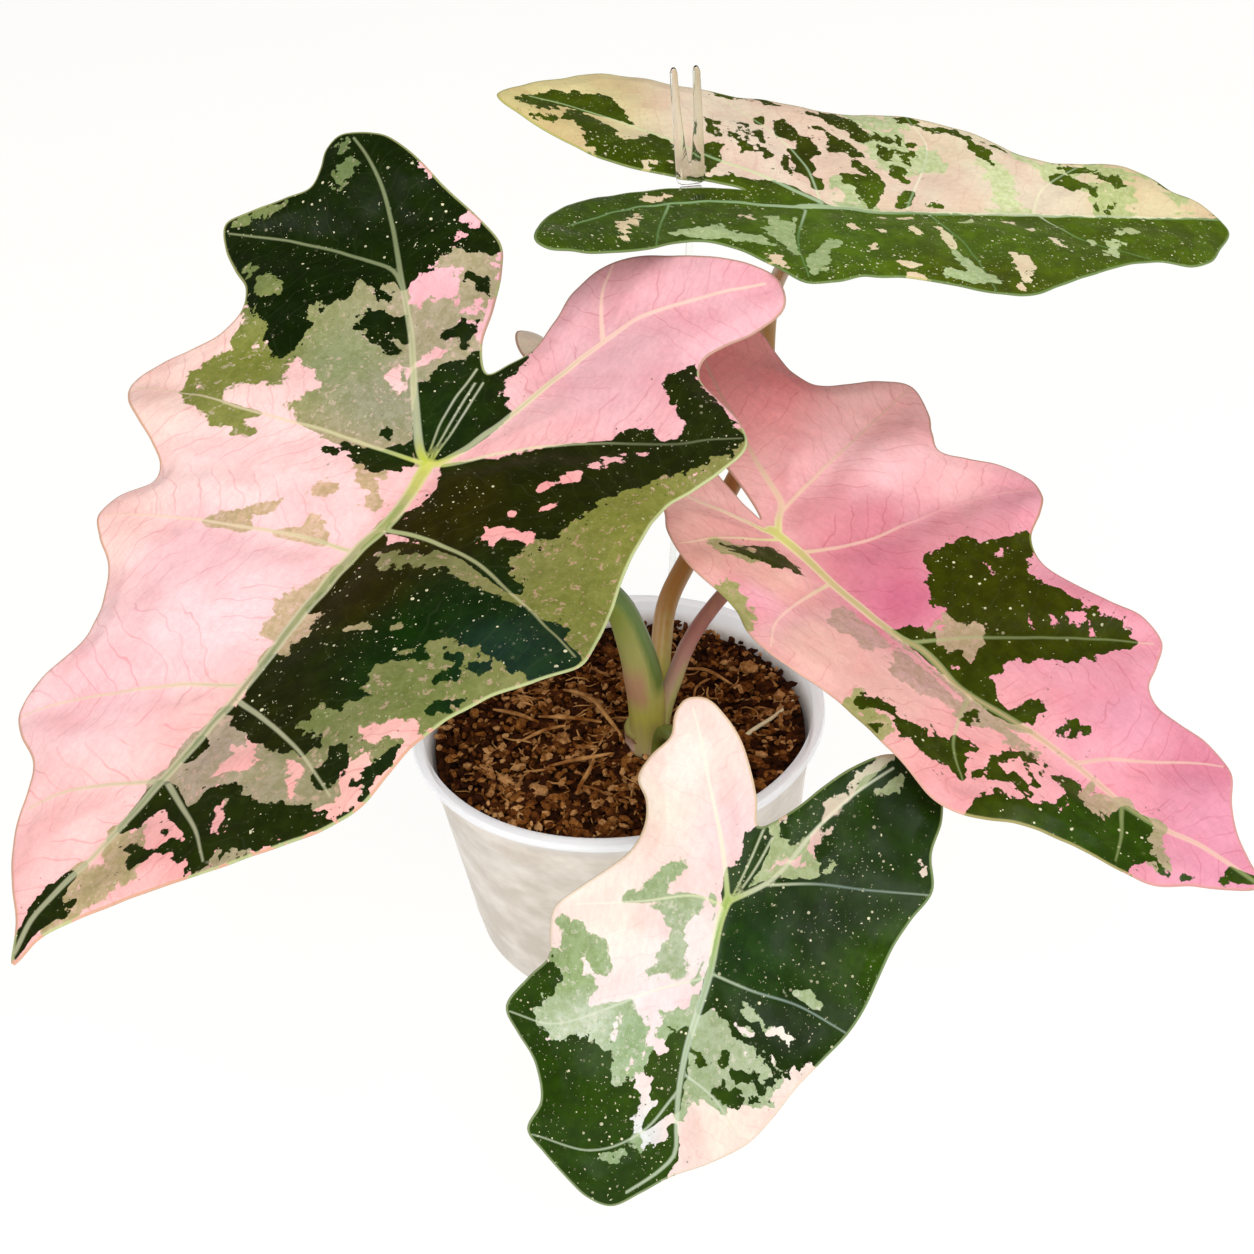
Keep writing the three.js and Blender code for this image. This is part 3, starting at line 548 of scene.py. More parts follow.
# Each row: its name, its leaf, how far under the leaf its straight top begins, its route, its radii
# from foot to top, its colours by height, and flushes of another colour. A flush has a lowest and a
# highest height, the share across the stalk where it begins and ends, its colour and its strength.
STALKS = [
    ("left", LEFT, 7,
     [(7.9, -9.4, 63), (8.6, -9.6, 76), (8.4, -10.5, 90), (6.4, -13, 106), (2.6, -16.5, 121),
      (-7, -23.5, 137), (-21, -36, 161)],
     [5.2, 5.6, 4.1, 3.5, 3.1, 2.8],
     [(62, "#c2a887"), (70, "#b9ab68"), (80, "#b3ab4c"), (90, "#b0a860"), (104, "#a3a05c"),
      (120, "#7d8a34"), (150, "#66782c")],
     [(84, 97, -1.0, 0.1, "#b7806c", 0.75), (88, 150, 0.45, 1.0, "#4c6a10", 0.9)]),
    ("back", BACK, 7,
     [(8.7, -3.4, 64), (12.4, 0, 75), (14.6, 6, 88.8), (17.7, 14, 99.6), (24.7, 24, 107), (34.4, 37, 114),
      (44.6, 51, 122.5), (52, 65, 132.5), (56.5, 77, 145), (58, 79, 158), (59, 68, 174), (61.5, 44, 194)],
     [3.2, 3.1, 2.9, 2.6, 2.4, 2.3],
     [(64, "#b2a94e"), (84, "#bdb35a"), (92, "#b39a52"), (100, "#a87c3a"), (120, "#9c6a2e"),
      (170, "#a0783c"), (210, "#a08a50")],
     [(60, 86, 0.2, 1.0, "#a9b02c", 0.7), (90, 140, -1.0, -0.3, "#b88a5c", 0.6)]),
    ("right", RIGHT, 7,
     [(11.4, -7.2, 64), (13.8, -7, 77), (17.4, -6.5, 87), (22.1, -6, 98.3), (28.4, -5.6, 108.1),
      (36.8, -6, 118)],
     [2.6, 2.6, 2.4, 2.2, 2.1, 2.0],
     [(66, "#b0a65c"), (78, "#bda674"), (86, "#c0a088"), (94, "#bc8a7c"), (104, "#a86a60"),
      (128, "#a4744f")],
     [(60, 92, 0.1, 1.0, "#b9bc6a", 0.6)]),
    ("front", FRONT, 7,
     [(10.5, -13.4, 64), (12.4, -16.5, 74), (15.5, -34, 86), (18.5, -62, 89), (21.4, -84, 82)],
     [2.4, 2.4, 2.2, 2.1, 2.0, 2.0],
     [(64, "#7d8438"), (74, "#5f6c22"), (90, "#6c7c34")],
     []),
]
for name, leaf, seat, route, radii, tones, flushes in STALKS:
    middle = np.zeros(1)
    top = leaf_points(leaf, middle, middle)[0]
    up = leaf_facing(leaf, middle, middle)[0]
    line = smooth_line(route + [tuple(top - seat * up), tuple(top - 0.4 * up)], False, 1.2)
    thick = np.interp(np.linspace(0, 1, len(line)), np.linspace(0, 1, len(radii)), radii)
    stalk = strands("petiole_%s_skin" % name, [[Vector(p) for p in line * MM]], [list(thick * MM)], 8)
    corners = np.array([vertex.co[:] for vertex in stalk.data.vertices]) / MM
    core = line[[np.argmin(np.linalg.norm(line - corner, axis=1)) for corner in corners]]
    flank = (corners - core)[:, 0] / np.linalg.norm(corners - core, axis=1)
    stalk.data.attributes.new("flank", "FLOAT", "POINT").data.foreach_set("value", flank)
    finish, tree, shader = new_material("stalk_%s" % name)
    place = add_node(tree, "TexCoord", {}, output="Object")
    height = add_node(tree, "SeparateXYZ", {"Vector": place}, output="Z")
    low, high = tones[0][0], tones[-1][0]
    level = add_node(tree, "MapRange", {"Value": height, "From Min": low * MM, "From Max": high * MM})
    streak_place = add_node(tree, "Mapping", {"Vector": place, "Scale": (1, 1, 0.12)})
    streaks = add_node(tree, "TexNoise", {"Vector": streak_place, "Scale": 620, "Detail": 3})
    wander = add_node(tree, "Math", {0: streaks, 1: 0.5}, operation="SUBTRACT")
    wander = add_node(tree, "Math", {0: wander, 1: 0.16}, operation="MULTIPLY")
    level = add_node(tree, "Math", {0: level, 1: wander}, operation="ADD")
    colour = colour_ramp(tree, level, [((at - low) / (high - low), code) for at, code in tones])
    lined = add_node(tree, "MapRange", {"Value": streaks, "To Min": 0.8, "To Max": 1.16})
    colour = mixed_colour(tree, 1.0, colour, lined, "MULTIPLY")
    side = add_node(tree, "Attribute", {}, output="Fac", attribute_name="flank")
    sideways = add_node(tree, "Math", {0: wander, 1: 2.0}, operation="MULTIPLY")
    side = add_node(tree, "Math", {0: side, 1: sideways})
    for bottom, top_end, left, right, code, strength in flushes:
        share = add_node(tree, "MapRange", {
            "Value": height, "From Min": (bottom - 3) * MM, "From Max": (bottom + 3) * MM,
            "To Max": strength})
        gates = [(height, (top_end - 4) * MM, (top_end + 4) * MM, 1.0, 0.0)]
        if left > -1:
            gates.append((side, left - 0.2, left + 0.2, 0.0, 1.0))
        if right < 1:
            gates.append((side, right - 0.2, right + 0.2, 1.0, 0.0))
        for value, start, end, before, after in gates:
            gate = add_node(tree, "MapRange", {
                "Value": value, "From Min": start, "From Max": end, "To Min": before, "To Max": after})
            share = add_node(tree, "Math", {0: share, 1: gate}, operation="MULTIPLY")
        colour = mixed_colour(tree, share, colour, linear(code))
    feed(tree, shader.inputs["Base Color"], colour)
    shader.inputs["Roughness"].default_value = 0.4
    shader.inputs["Subsurface Weight"].default_value = 0.12
    shader.inputs["Subsurface Radius"].default_value = (0.003, 0.0025, 0.001)
    bump = add_node(tree, "Bump", {"Height": streaks, "Strength": 0.25, "Distance": 0.2 * MM})
    tree.links.new(bump, shader.inputs["Normal"])
    stalk.data.materials.clear()
    stalk.data.materials.append(finish)
    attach(stalk, "root")
    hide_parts("petiole_%s" % name)

# Crown: the short stem in the soil under the stalks, pinkish beige, with the scar ring and the dry
# brown rims of old sheaths round its top.
crown = spun("crown_skin", [(r * MM, z * MM) for r, z in [
    (0, 50), (3.4, 51), (5.2, 56), (5.9, 62), (6.3, 65), (6.5, 67.2), (6.25, 68.4), (6.6, 69.3),
    (6.35, 70.4), (6.6, 71.2), (6.1, 72.2), (5.6, 73.2), (4.4, 74), (0, 74)]], 48)
for vertex in crown.data.vertices:
    turn = math.atan2(vertex.co.y, vertex.co.x)
    vertex.co.z += 0.5 * MM * math.sin(3 * turn + 0.6) * (vertex.co.z > 66 * MM)
    vertex.co.x += STEM_PLACE.x
    vertex.co.y += STEM_PLACE.y
bpy.ops.object.shade_smooth()
crown_finish, tree, shader = new_material("crown_skin")
place = add_node(tree, "TexCoord", {}, output="Object")
height = add_node(tree, "SeparateXYZ", {"Vector": place}, output="Z")
mottle = add_node(tree, "TexNoise", {"Vector": place, "Scale": 420, "Detail": 4})
shift = add_node(tree, "Math", {0: mottle, 1: 3.0 * MM}, operation="MULTIPLY")
height = add_node(tree, "Math", {0: height, 1: shift}, operation="ADD")
level = add_node(tree, "MapRange", {"Value": height, "From Min": 62 * MM, "From Max": 76 * MM})
feed(tree, shader.inputs["Base Color"], colour_ramp(tree, level, [
    (0.0, "#8f6a4c"), (0.3, "#c9a48e"), (0.52, "#cdac98"), (0.63, "#b58f76"), (0.7, "#7a4a32"),
    (0.77, "#9d9450"), (1.0, "#a09a4e")]))
shader.inputs["Roughness"].default_value = 0.55
bump = add_node(tree, "Bump", {"Height": mottle, "Strength": 0.4, "Distance": 0.3 * MM})
tree.links.new(bump, shader.inputs["Normal"])
crown.data.materials.append(crown_finish)
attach(crown, "root")
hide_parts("crown")

# Left leaf: the largest blade, one soft sheet of leaf with a thick midrib and quilted between its
# side veins. Pink and peach at the left, dark green, sage and pink in torn patches elsewhere.
LEAF_GRID = 0.85
MARGIN_SPACING = 0.9
UPPER_SKIN = 0.25
LOWER_SKIN = 0.2
RIM_ROUND = 0.2
RIM_LIFT = 0.03
RIM_UNDERSIDE = 0.3
VEIN_ABOVE = 0.16
VEIN_BELOW = 0.85
VEIN_TRACE_STEP = 2.2
VEIN_STEP = 0.8
VEIN_SHOULDER = 0.6
VEIN_CELL = 0.42
VEIN_ROOM = 0.55
MARGIN_ROOM = 0.5
ROW_SHARE = 0.866
FAR = 1e9
DEEPEST = -60.0
TONE_SOFTNESS = 4
RIPPLE_WAVES = 14
RIPPLE_HEIGHT = 0.035
QUILT_REACH = 6.5
BRANCH_SLANT = 0.62
BRANCHING_VEIN = 0.5
VEINLET_SHARE = 0.8
VEIN_WIDTHS = {"mid": (1.9, 0.5), "rear": (1.15, 0.35), "side": (0.65, 0.22), "thin": (0.3, 0.22),
               "slim_mid": (1.15, 0.35), "slim_rear": (0.7, 0.3), "slim_side": (0.36, 0.18)}


def trace(text):
    """Places traced on a leaf, written as u,v pairs in millimetres."""
    return np.array([[float(n) for n in pair.split(",")] for pair in text.split()])


def line_distance(points, line, closed=False):
    """Distance of points from a line of straight pieces, and the share of the line passed there."""
    starts = line if closed else line[:-1]
    ends = np.roll(line, -1, axis=0) if closed else line[1:]
    nearest = np.full(len(points), FAR)
    share = np.zeros(len(points))
    for k, (a, b) in enumerate(zip(starts, ends)):
        step = b - a
        t = np.clip((points - a) @ step / max(step @ step, 1e-9), 0, 1)
        gap = np.hypot(points[:, 0] - a[0] - t * step[0], points[:, 1] - a[1] - t * step[1])
        share = np.where(gap < nearest, (k + t) / len(starts), share)
        nearest = np.minimum(gap, nearest)
    return nearest, share


def inside(points, ring):
    """Which points lie inside a closed ring."""
    within = np.zeros(len(points), bool)
    u, v = points.T
    for (au, av), (bu, bv) in zip(ring, np.roll(ring, -1, axis=0)):
        if av != bv:
            within ^= ((av > v) != (bv > v)) & (u < au + (v - av) * (bu - au) / (bv - av))
    return within


def patch_depth(points, patches, holes):
    """Millimetres inside the nearest edge of a set of patches, less than nothing outside them."""
    deep = np.full(len(points), DEEPEST)
    for text in patches:
        ring = trace(text)
        far = line_distance(points, ring, True)[0]
        deep = np.maximum(deep, np.where(inside(points, ring), far, -far))
    for text in holes:
        ring = trace(text)
        far = line_distance(points, ring, True)[0]
        deep = np.minimum(deep, np.where(inside(points, ring), -far, far))
    return deep


def leaf_sheet(margin, lines):
    """Triangles that fill a leaf's outline, with rows of corners along its veins."""
    outline = smooth_line(trace(margin), True, MARGIN_SPACING)
    rows = []
    for wide, thin, line in lines:
        fine = smooth_line(line, False, VEIN_STEP)
        aim = np.gradient(fine, axis=0)
        aim /= np.linalg.norm(aim, axis=1, keepdims=True)
        half = np.linspace(wide, thin, len(fine))[:, None]
        across = np.stack([-aim[:, 1], aim[:, 0]], 1)
        rows += [fine, fine + across * half, fine - across * half]
        shoulder = half + VEIN_SHOULDER
        rows += [fine + across * shoulder, fine - across * shoulder]
    taken = {}
    for spot in np.concatenate(rows):
        taken.setdefault((round(spot[0] / VEIN_CELL), round(spot[1] / VEIN_CELL)), spot)
    on_veins = np.array(list(taken.values()))
    low = outline.min(axis=0)
    high = outline.max(axis=0)
    columns = np.arange(low[0], high[0], LEAF_GRID)
    across, down = np.meshgrid(columns, np.arange(low[1], high[1], LEAF_GRID * ROW_SHARE))
    across += (np.arange(len(down)) % 2)[:, None] * LEAF_GRID / 2
    grid = np.stack([across.ravel(), down.ravel()], 1)
    grid = grid[inside(grid, outline)]
    tree = KDTree(len(on_veins))
    for k, spot in enumerate(on_veins):
        tree.insert((*spot, 0), k)
    tree.balance()
    grid = np.array([spot for spot in grid if tree.find((*spot, 0))[2] > VEIN_ROOM])
    spots = np.concatenate([on_veins, grid])
    spots = spots[inside(spots, outline)]
    spots = spots[line_distance(spots, outline, True)[0] > MARGIN_ROOM]
    count = len(outline)
    corners = [Vector(p) for p in np.concatenate([outline, spots])]
    ring = [(k, (k + 1) % count) for k in range(count)]
    made, _, faces, origins, _, _ = delaunay_2d_cdt(corners, ring, [], 1, 1e-5)
    place = {}
    for k, sources in enumerate(origins):
        for source in sources:
            place[source] = k
    return outline, np.array([p[:] for p in made]), np.array(faces), [place[k] for k in range(count)]


def blended(points, tones):
    """Colours at points, blended from a few tones that each stand for one part of a leaf."""
    total = np.zeros((len(points), 4))
    weights = np.zeros(len(points))
    for word in tones.split():
        u, v, code = word.split(",")
        apart = (points[:, 0] - float(u)) ** 2 + (points[:, 1] - float(v)) ** 2
        weight = 1 / (apart + TONE_SOFTNESS ** 2) ** 1.5
        total += weight[:, None] * np.array(linear(code))
        weights += weight
    return total / weights[:, None]


def ripples(points, seed):
    """Soft uneven lumps, about a tenth of a millimetre high, from crossed waves."""
    chance = np.random.default_rng(seed)
    lumps = np.zeros(len(points))
    for _ in range(RIPPLE_WAVES):
        turn = chance.uniform(0, 2 * math.pi)
        length = chance.uniform(7, 19)
        across = points @ [math.cos(turn), math.sin(turn)]
        lumps += np.sin(across * 2 * math.pi / length + chance.uniform(0, 6.28))
    return lumps * RIPPLE_HEIGHT


def blade(name, leaf, margin, veins, patches, tones, seed):
    """One leaf: two sheets a little apart, joined by a rounded rim, that carry their own markings."""
    lines = []
    for kind, text in veins:
        wide, thin = VEIN_WIDTHS[kind]
        lines.append((wide, thin, smooth_line(trace(text), False, VEIN_TRACE_STEP)))
    outline, flat, faces, ring = leaf_sheet(margin, lines)
    nearness = np.full(len(flat), DEEPEST)
    cord = np.zeros(len(flat))
    for wide, thin, line in lines:
        far, share = line_distance(flat, line)
        half = wide + (thin - wide) * share
        nearness = np.maximum(nearness, half - far)
        cord = np.maximum(cord, half * np.exp(-(far / half) ** 2))
    branch = np.zeros(len(flat))
    nearest = np.full(len(flat), FAR)
    second = np.full(len(flat), FAR)
    for wide, thin, line in lines:
        if wide < BRANCHING_VEIN:
            continue
        far, share = line_distance(flat, line)
        length = np.linalg.norm(np.diff(line, axis=0), axis=1).sum()
        nearer = far < nearest
        second = np.where(nearer, nearest, np.minimum(second, far))
        branch = np.where(nearer, share * length - BRANCH_SLANT * far, branch)
        nearest = np.minimum(nearest, far)
    rim = line_distance(flat, outline, True)[0]
    away = np.clip(-nearness, 0, None)
    quilt = leaf["quilt"] * (1 - np.exp(-(away / QUILT_REACH) ** 2)) * np.clip(rim / 5, 0, 1)
    relief = quilt + ripples(flat, seed)
    u, v = flat.T
    up = leaf_facing(leaf, u, v)
    middle = leaf_points(leaf, u, v)
    upper = middle + up * (UPPER_SKIN + relief + VEIN_ABOVE * cord)[:, None]
    lower = middle + up * (relief - LOWER_SKIN - VEIN_BELOW * cord)[:, None]
    aim = np.roll(outline, -1, axis=0) - np.roll(outline, 1, axis=0)
    aim /= np.linalg.norm(aim, axis=1, keepdims=True)
    outward = np.stack([aim[:, 1], -aim[:, 0]], 1)
    around = np.roll(outline, -1, axis=0)
    if np.sum(outline[:, 0] * around[:, 1] - around[:, 0] * outline[:, 1]) < 0:
        outward = -outward
    edge = outline + outward * RIM_ROUND
    edge_points = leaf_points(leaf, edge[:, 0], edge[:, 1])
    edge_points += leaf_facing(leaf, edge[:, 0], edge[:, 1]) * (RIM_LIFT + relief[ring])[:, None]
    count = len(flat)
    sides = [tuple(f) for f in faces[:, ::-1].tolist()] + [tuple(f) for f in (faces + count).tolist()]
    for k in range(len(ring)):
        j = (k + 1) % len(ring)
        sides.append((ring[k], ring[j], 2 * count + j, 2 * count + k))
        sides.append((2 * count + k, 2 * count + j, count + ring[j], count + ring[k]))
    piece = mesh_piece(name, np.concatenate([upper, lower, edge_points]) * MM, [], sides)
    bpy.ops.object.mode_set(mode="EDIT")
    bpy.ops.mesh.select_all(action="SELECT")
    bpy.ops.mesh.normals_make_consistent(inside=False)
    bpy.ops.object.mode_set(mode="OBJECT")
    bpy.ops.object.shade_smooth()
    places = np.concatenate([flat, flat, edge])
    plane = np.concatenate([places, np.full((len(places), 1), float(seed))], 1)
    shared = patches.get("sage_in_green", [])
    holes = patches.get("green_holes", []) + shared
    marks = {
        "green": patch_depth(flat, patches["green"], holes),
        "sage": patch_depth(flat, patches["sage"] + shared, patches.get("sage_holes", [])),
        "vein": nearness,
        "rim": rim,
        "branch": branch,
        "clear_of_seam": second - nearest,
    }
    for key, values in marks.items():
        layer = piece.data.attributes.new(key, "FLOAT", "POINT")
        layer.data.foreach_set("value", np.concatenate([values, values, values[ring]]))
    layer = piece.data.attributes.new("under", "FLOAT", "POINT")
    sides_up = [np.zeros(count), np.ones(count), np.full(len(ring), RIM_UNDERSIDE)]
    layer.data.foreach_set("value", np.concatenate(sides_up))
    layer = piece.data.attributes.new("leaf_plane", "FLOAT_VECTOR", "POINT")
    layer.data.foreach_set("vector", plane.ravel())
    for key, text in tones.items():
        layer = piece.data.attributes.new(key, "FLOAT_COLOR", "POINT")
        layer.data.foreach_set("color", blended(places, text).ravel())
    return piece


def blade_finish(name, piece, gloss=0.34, specks=1.0, hug=1.8, lines=1.0):
    """The leaf's skin: pale, sage and dark tissue in torn patches, specks, veins and a thin rim.

    hug is how far colour creeps along a vein, and lines is the strength of the fine veins.
    """
    finish, tree, shader = new_material(name)
    plane = add_node(tree, "Attribute", {}, output="Vector", attribute_name="leaf_plane")

    def mark(key, output="Fac"):
        return add_node(tree, "Attribute", {}, output=output, attribute_name=key)

    def tone(key):
        return mark(key, "Color")

    def noise(scale, detail, shift=0.0, rough=0.55, stretch=(1, 1, 1)):
        moved = (shift, shift * 0.7, 0)
        place = add_node(tree, "Mapping", {"Vector": plane, "Location": moved, "Scale": stretch})
        inputs = {"Vector": place, "Scale": scale, "Detail": detail, "Roughness": rough}
        return add_node(tree, "TexNoise", inputs)

    def maths(kind, a, b):
        return add_node(tree, "Math", {0: a, 1: b}, operation=kind)

    def times(a, b):
        return maths("MULTIPLY", a, b)

    def step(value, low, high, to_low=0.0, to_high=1.0):
        return add_node(tree, "MapRange", {
            "Value": value, "From Min": low, "From Max": high, "To Min": to_low, "To Max": to_high})

    def mix(share, a, b):
        return mixed_colour(tree, share, a, b)

    def tinted(colour, tint):
        return mixed_colour(tree, 1.0, colour, tint, "MULTIPLY")

    # torn edges of the green and sage patches, calmer beside a vein and drawn out along it
    uneven = step(noise(0.05, 2, 83), 0.4, 0.6, 0.45, 1.1)
    torn = times(maths("SUBTRACT", noise(0.4, 3, 0, 0.5), 0.5), times(uneven, 9.0))
    torn_sage = times(maths("SUBTRACT", noise(0.34, 3, 37, 0.55), 0.5), 7.0)
    calm = step(mark("vein"), -3.5, -0.3, 1.0, 0.3)
    torn = times(torn, calm)
    torn_sage = times(torn_sage, calm)
    to_vein = step(mark("vein"), -2.6, 0.2, 0.0, hug)
    green_field = maths("ADD", maths("ADD", mark("green"), to_vein), torn)
    sage_field = maths("ADD", maths("ADD", mark("sage"), to_vein), torn_sage)
    green = step(green_field, -0.12, 0.12)
    between = times(step(green_field, -2.9, -2.6), step(sage_field, -2.9, -2.6))
    sage = maths("MAXIMUM", step(sage_field, -0.25, 0.25), between)

    # dark specks near the green, and light specks in clusters
    light_specks = step(noise(1.15, 2.5, 11, 0.6), 0.705 - 0.02 * specks, 0.725 - 0.02 * specks)
    light_specks = times(light_specks, step(noise(0.1, 2, 51), 0.4, 0.58))
    dark_specks = step(noise(0.7, 3, 23, 0.6), 0.66, 0.675)
    near_green = step(mark("green"), -7, -1)
    dark_clusters = step(noise(0.08, 2, 29), 0.48, 0.56)
    dark_specks = times(times(dark_specks, near_green), dark_clusters)
    green = maths("MAXIMUM", green, dark_specks)

    # the three kinds of tissue, each mottled with a second tone
    drift = noise(0.07, 2, 5)
    fine = noise(0.9, 3, 71, 0.7, (0.5, 1, 1))
    pale = mix(step(drift, 0.4, 0.62), tone("pale"), tinted(tone("pale"), (0.97, 0.86, 0.87, 1)))
    pale_mottle = step(noise(0.5, 3, 91, 0.7), 0.58, 0.63)
    mid_mottle = step(noise(0.5, 3, 61, 0.7), 0.42, 0.6)
    mid = mix(mid_mottle, tone("mid"), tinted(tone("mid"), (0.8, 0.84, 0.7, 1)))
    mid = mix(times(pale_mottle, 0.3), mid, tone("pale"))
    deep_mottle = step(noise(0.2, 3, 41, 0.6), 0.42, 0.62)
    deep = mix(deep_mottle, tone("deep"), tinted(tone("deep"), (1.4, 1.45, 1.0, 1)))
    colour = mix(sage, pale, mid)
    colour = mix(green, colour, deep)
    colour = tinted(colour, step(fine, 0.3, 0.7, 0.93, 1.07))

    # fine veins that branch off the side veins, and a net between them
    off_seam = step(mark("clear_of_seam"), 1.7, 3.2)

    def branches(spacing, width, sway, shift):
        wander = times(maths("SUBTRACT", noise(0.08, 2, shift), 0.5), sway)
        bent = maths("ADD", mark("branch"), wander)
        place = maths("FRACT", maths("DIVIDE", bent, spacing), 0)
        off_line = times(maths("ABSOLUTE", maths("SUBTRACT", place, 0.5), 0), spacing)
        return times(step(off_line, 0.0, width, 1.0, 0.0), off_seam)

    long_lines = branches(5.6, 0.36, 12.0, 13)
    long_lines = times(long_lines, step(noise(0.1, 2, 7), 0.34, 0.58, 0.4, 1.0))
    short_lines = times(branches(2.5, 0.28, 9.0, 57), step(mark("vein"), -11, -2, 0.0, 1.0))
    short_lines = times(short_lines, step(noise(0.11, 2, 31), 0.45, 0.65, 0.0, 0.7))
    cells = add_node(tree, "Mapping", {"Vector": plane, "Scale": (0.5, 0.36, 1)})
    net = add_node(
        tree, "TexVoronoi", {"Vector": cells, "Scale": 1.0}, output="Distance",
        feature="DISTANCE_TO_EDGE")
    net = times(step(net, 0.0, 0.07, 1.0, 0.0), 0.22)
    net = maths("MAXIMUM", net, maths("MAXIMUM", long_lines, short_lines))
    line_tone = tinted(colour, (0.82, 0.6, 0.63, 1))
    line_tone = mix(sage, line_tone, tinted(colour, (0.93, 0.93, 0.88, 1)))
    line_tone = mix(green, line_tone, mix(0.025, colour, (0.5, 0.5, 0.3, 1)))
    colour = mix(times(net, VEINLET_SHARE * lines), colour, line_tone)

    # cream grains of many sizes on the darker tissue
    grains = add_node(tree, "TexVoronoi", {"Vector": plane, "Scale": 0.62}, output="Distance")
    chance = add_node(
        tree, "SeparateColor", {"Color": grains.node.outputs["Color"]}, output="Red")
    grain_size = step(chance, 0.78 - 0.1 * specks, 1.0, 0.0, 0.3)
    grains = step(maths("SUBTRACT", grain_size, grains), 0.0, 0.03)
    grains = times(grains, step(noise(0.085, 2, 63), 0.46, 0.6, 0.06, 0.95))
    grains = maths("MAXIMUM", grains, light_specks)
    darker_tissue = maths("MAXIMUM", green, times(sage, 0.5))
    colour = mix(times(grains, darker_tissue), colour, linear("#d6d0ac"))

    # raised veins, the thin rim and the underside
    vein = step(mark("vein"), -0.2, 0.25)
    dark_side = maths("MAXIMUM", green, times(sage, 0.55))
    vein_colour = mix(dark_side, tone("vein_pale"), tone("vein_deep"))
    vein_colour = mix(step(mark("vein"), 0.4, 1.0, 0.0, 0.8), vein_colour, tone("vein_core"))
    colour = mix(times(vein, 0.85), colour, vein_colour)
    rim_colour = mix(maths("MAXIMUM", green, sage), tone("rim_pale"), tone("rim_deep"))
    colour = mix(step(mark("rim"), 0.2, 0.55, 0.8, 0.0), colour, rim_colour)
    below = mix(0.35, colour, (0.42, 0.44, 0.33, 1))
    colour = mix(mark("under"), colour, below)
    feed(tree, shader.inputs["Base Color"], colour)
    feed(tree, shader.inputs["Roughness"], step(
        noise(0.5, 1, 19), 0.3, 0.7, gloss - 0.05, gloss + 0.09))
    shader.inputs["Specular IOR Level"].default_value = 0.09
    bump = add_node(tree, "Bump", {"Height": fine, "Strength": 0.35, "Distance": 0.1 * MM})
    tree.links.new(bump, shader.inputs["Normal"])
    piece.data.materials.append(finish)


LEFT_MARGIN = (
    "-32,1.6 -39,7 -50,9.4 -61,12.4 -68,16 -73,25 -78,37 -84,49 -87,60 -84,71 -79,73 -72,71 -66,71"
    " -61,77 -56,84 -50,91 -44,88 -38,81 -32,73 -25,70 -18,72 -11,78 -5,84 3,87 9,83 15,75 20,67 25,61"
    " 31,59 38,64 45,64 51,59 56,53 64,48 72,44 80,43 89,46 98,46 103,41 108,33 114,29 120,27 127,23"
    " 134,17 140,11 148,5 142,4 136,0 129,-8 122,-17 116,-25 108,-34 101,-40 93,-44 85,-45 76,-46"
    " 68,-48 60,-52 53,-60 46,-66 36,-65 26,-63 16,-61 6,-60 -2,-59 -10,-59 -17,-62 -24,-66 -33,-68"
    " -40,-63 -44,-56 -48,-49 -54,-47 -60,-50 -66,-56 -74,-60 -81,-56 -83,-48 -82,-38 -79,-27 -76,-18"
    " -71,-12 -63,-8 -53,-7 -43,-6 -37,-2.4")
LEFT_VEINS = [
    ("mid", "0,0 10,-1.5 20,-2 32,0 52,1 76,1 102,3 121,5 138,8 148,6"),
    ("rear", "0,0 -2,3 -16,13 -35,25 -46,33 -64,46 -73,53 -80,61 -84,67"),
    ("side", "-46,33 -50,38 -51,50 -51,66 -48,89"),
    ("rear", "0,0 -2,-3 -13,-8 -28,-13 -39,-17 -50,-22 -61,-28 -69,-37 -79,-53"),
    ("side", "-50,-22 -57,-18 -64,-15 -73,-14"),
    ("side", "0,0 -1,-4 -9,-15 -15,-25 -23,-40 -28,-54 -35,-66"),
    ("side", "23,-3 23,-12 26,-28 33,-43 39,-55 44,-64"), ("side", "78,1 81,-9 86,-22 91,-31 94,-36"),
    ("side", "102,1 106,-6 110,-13 116,-20"), ("side", "0,0 1,9 2,29 4,48 4,68 4,85"),
    ("side", "32,2 33,13 36,26 40,44 45,62"), ("side", "75,3 80,15 88,29 94,39 99,45"),
    ("side", "102,3 107,13 112,21 118,26"), ("thin", "-29,1.2 -16,0.5 -1,-0.3"),
    ("thin", "-28,3 -15,2.2 -1,0.4"), ("thin", "-32,4.6 -21,4.9 -13,4.2 -1,1"),
]
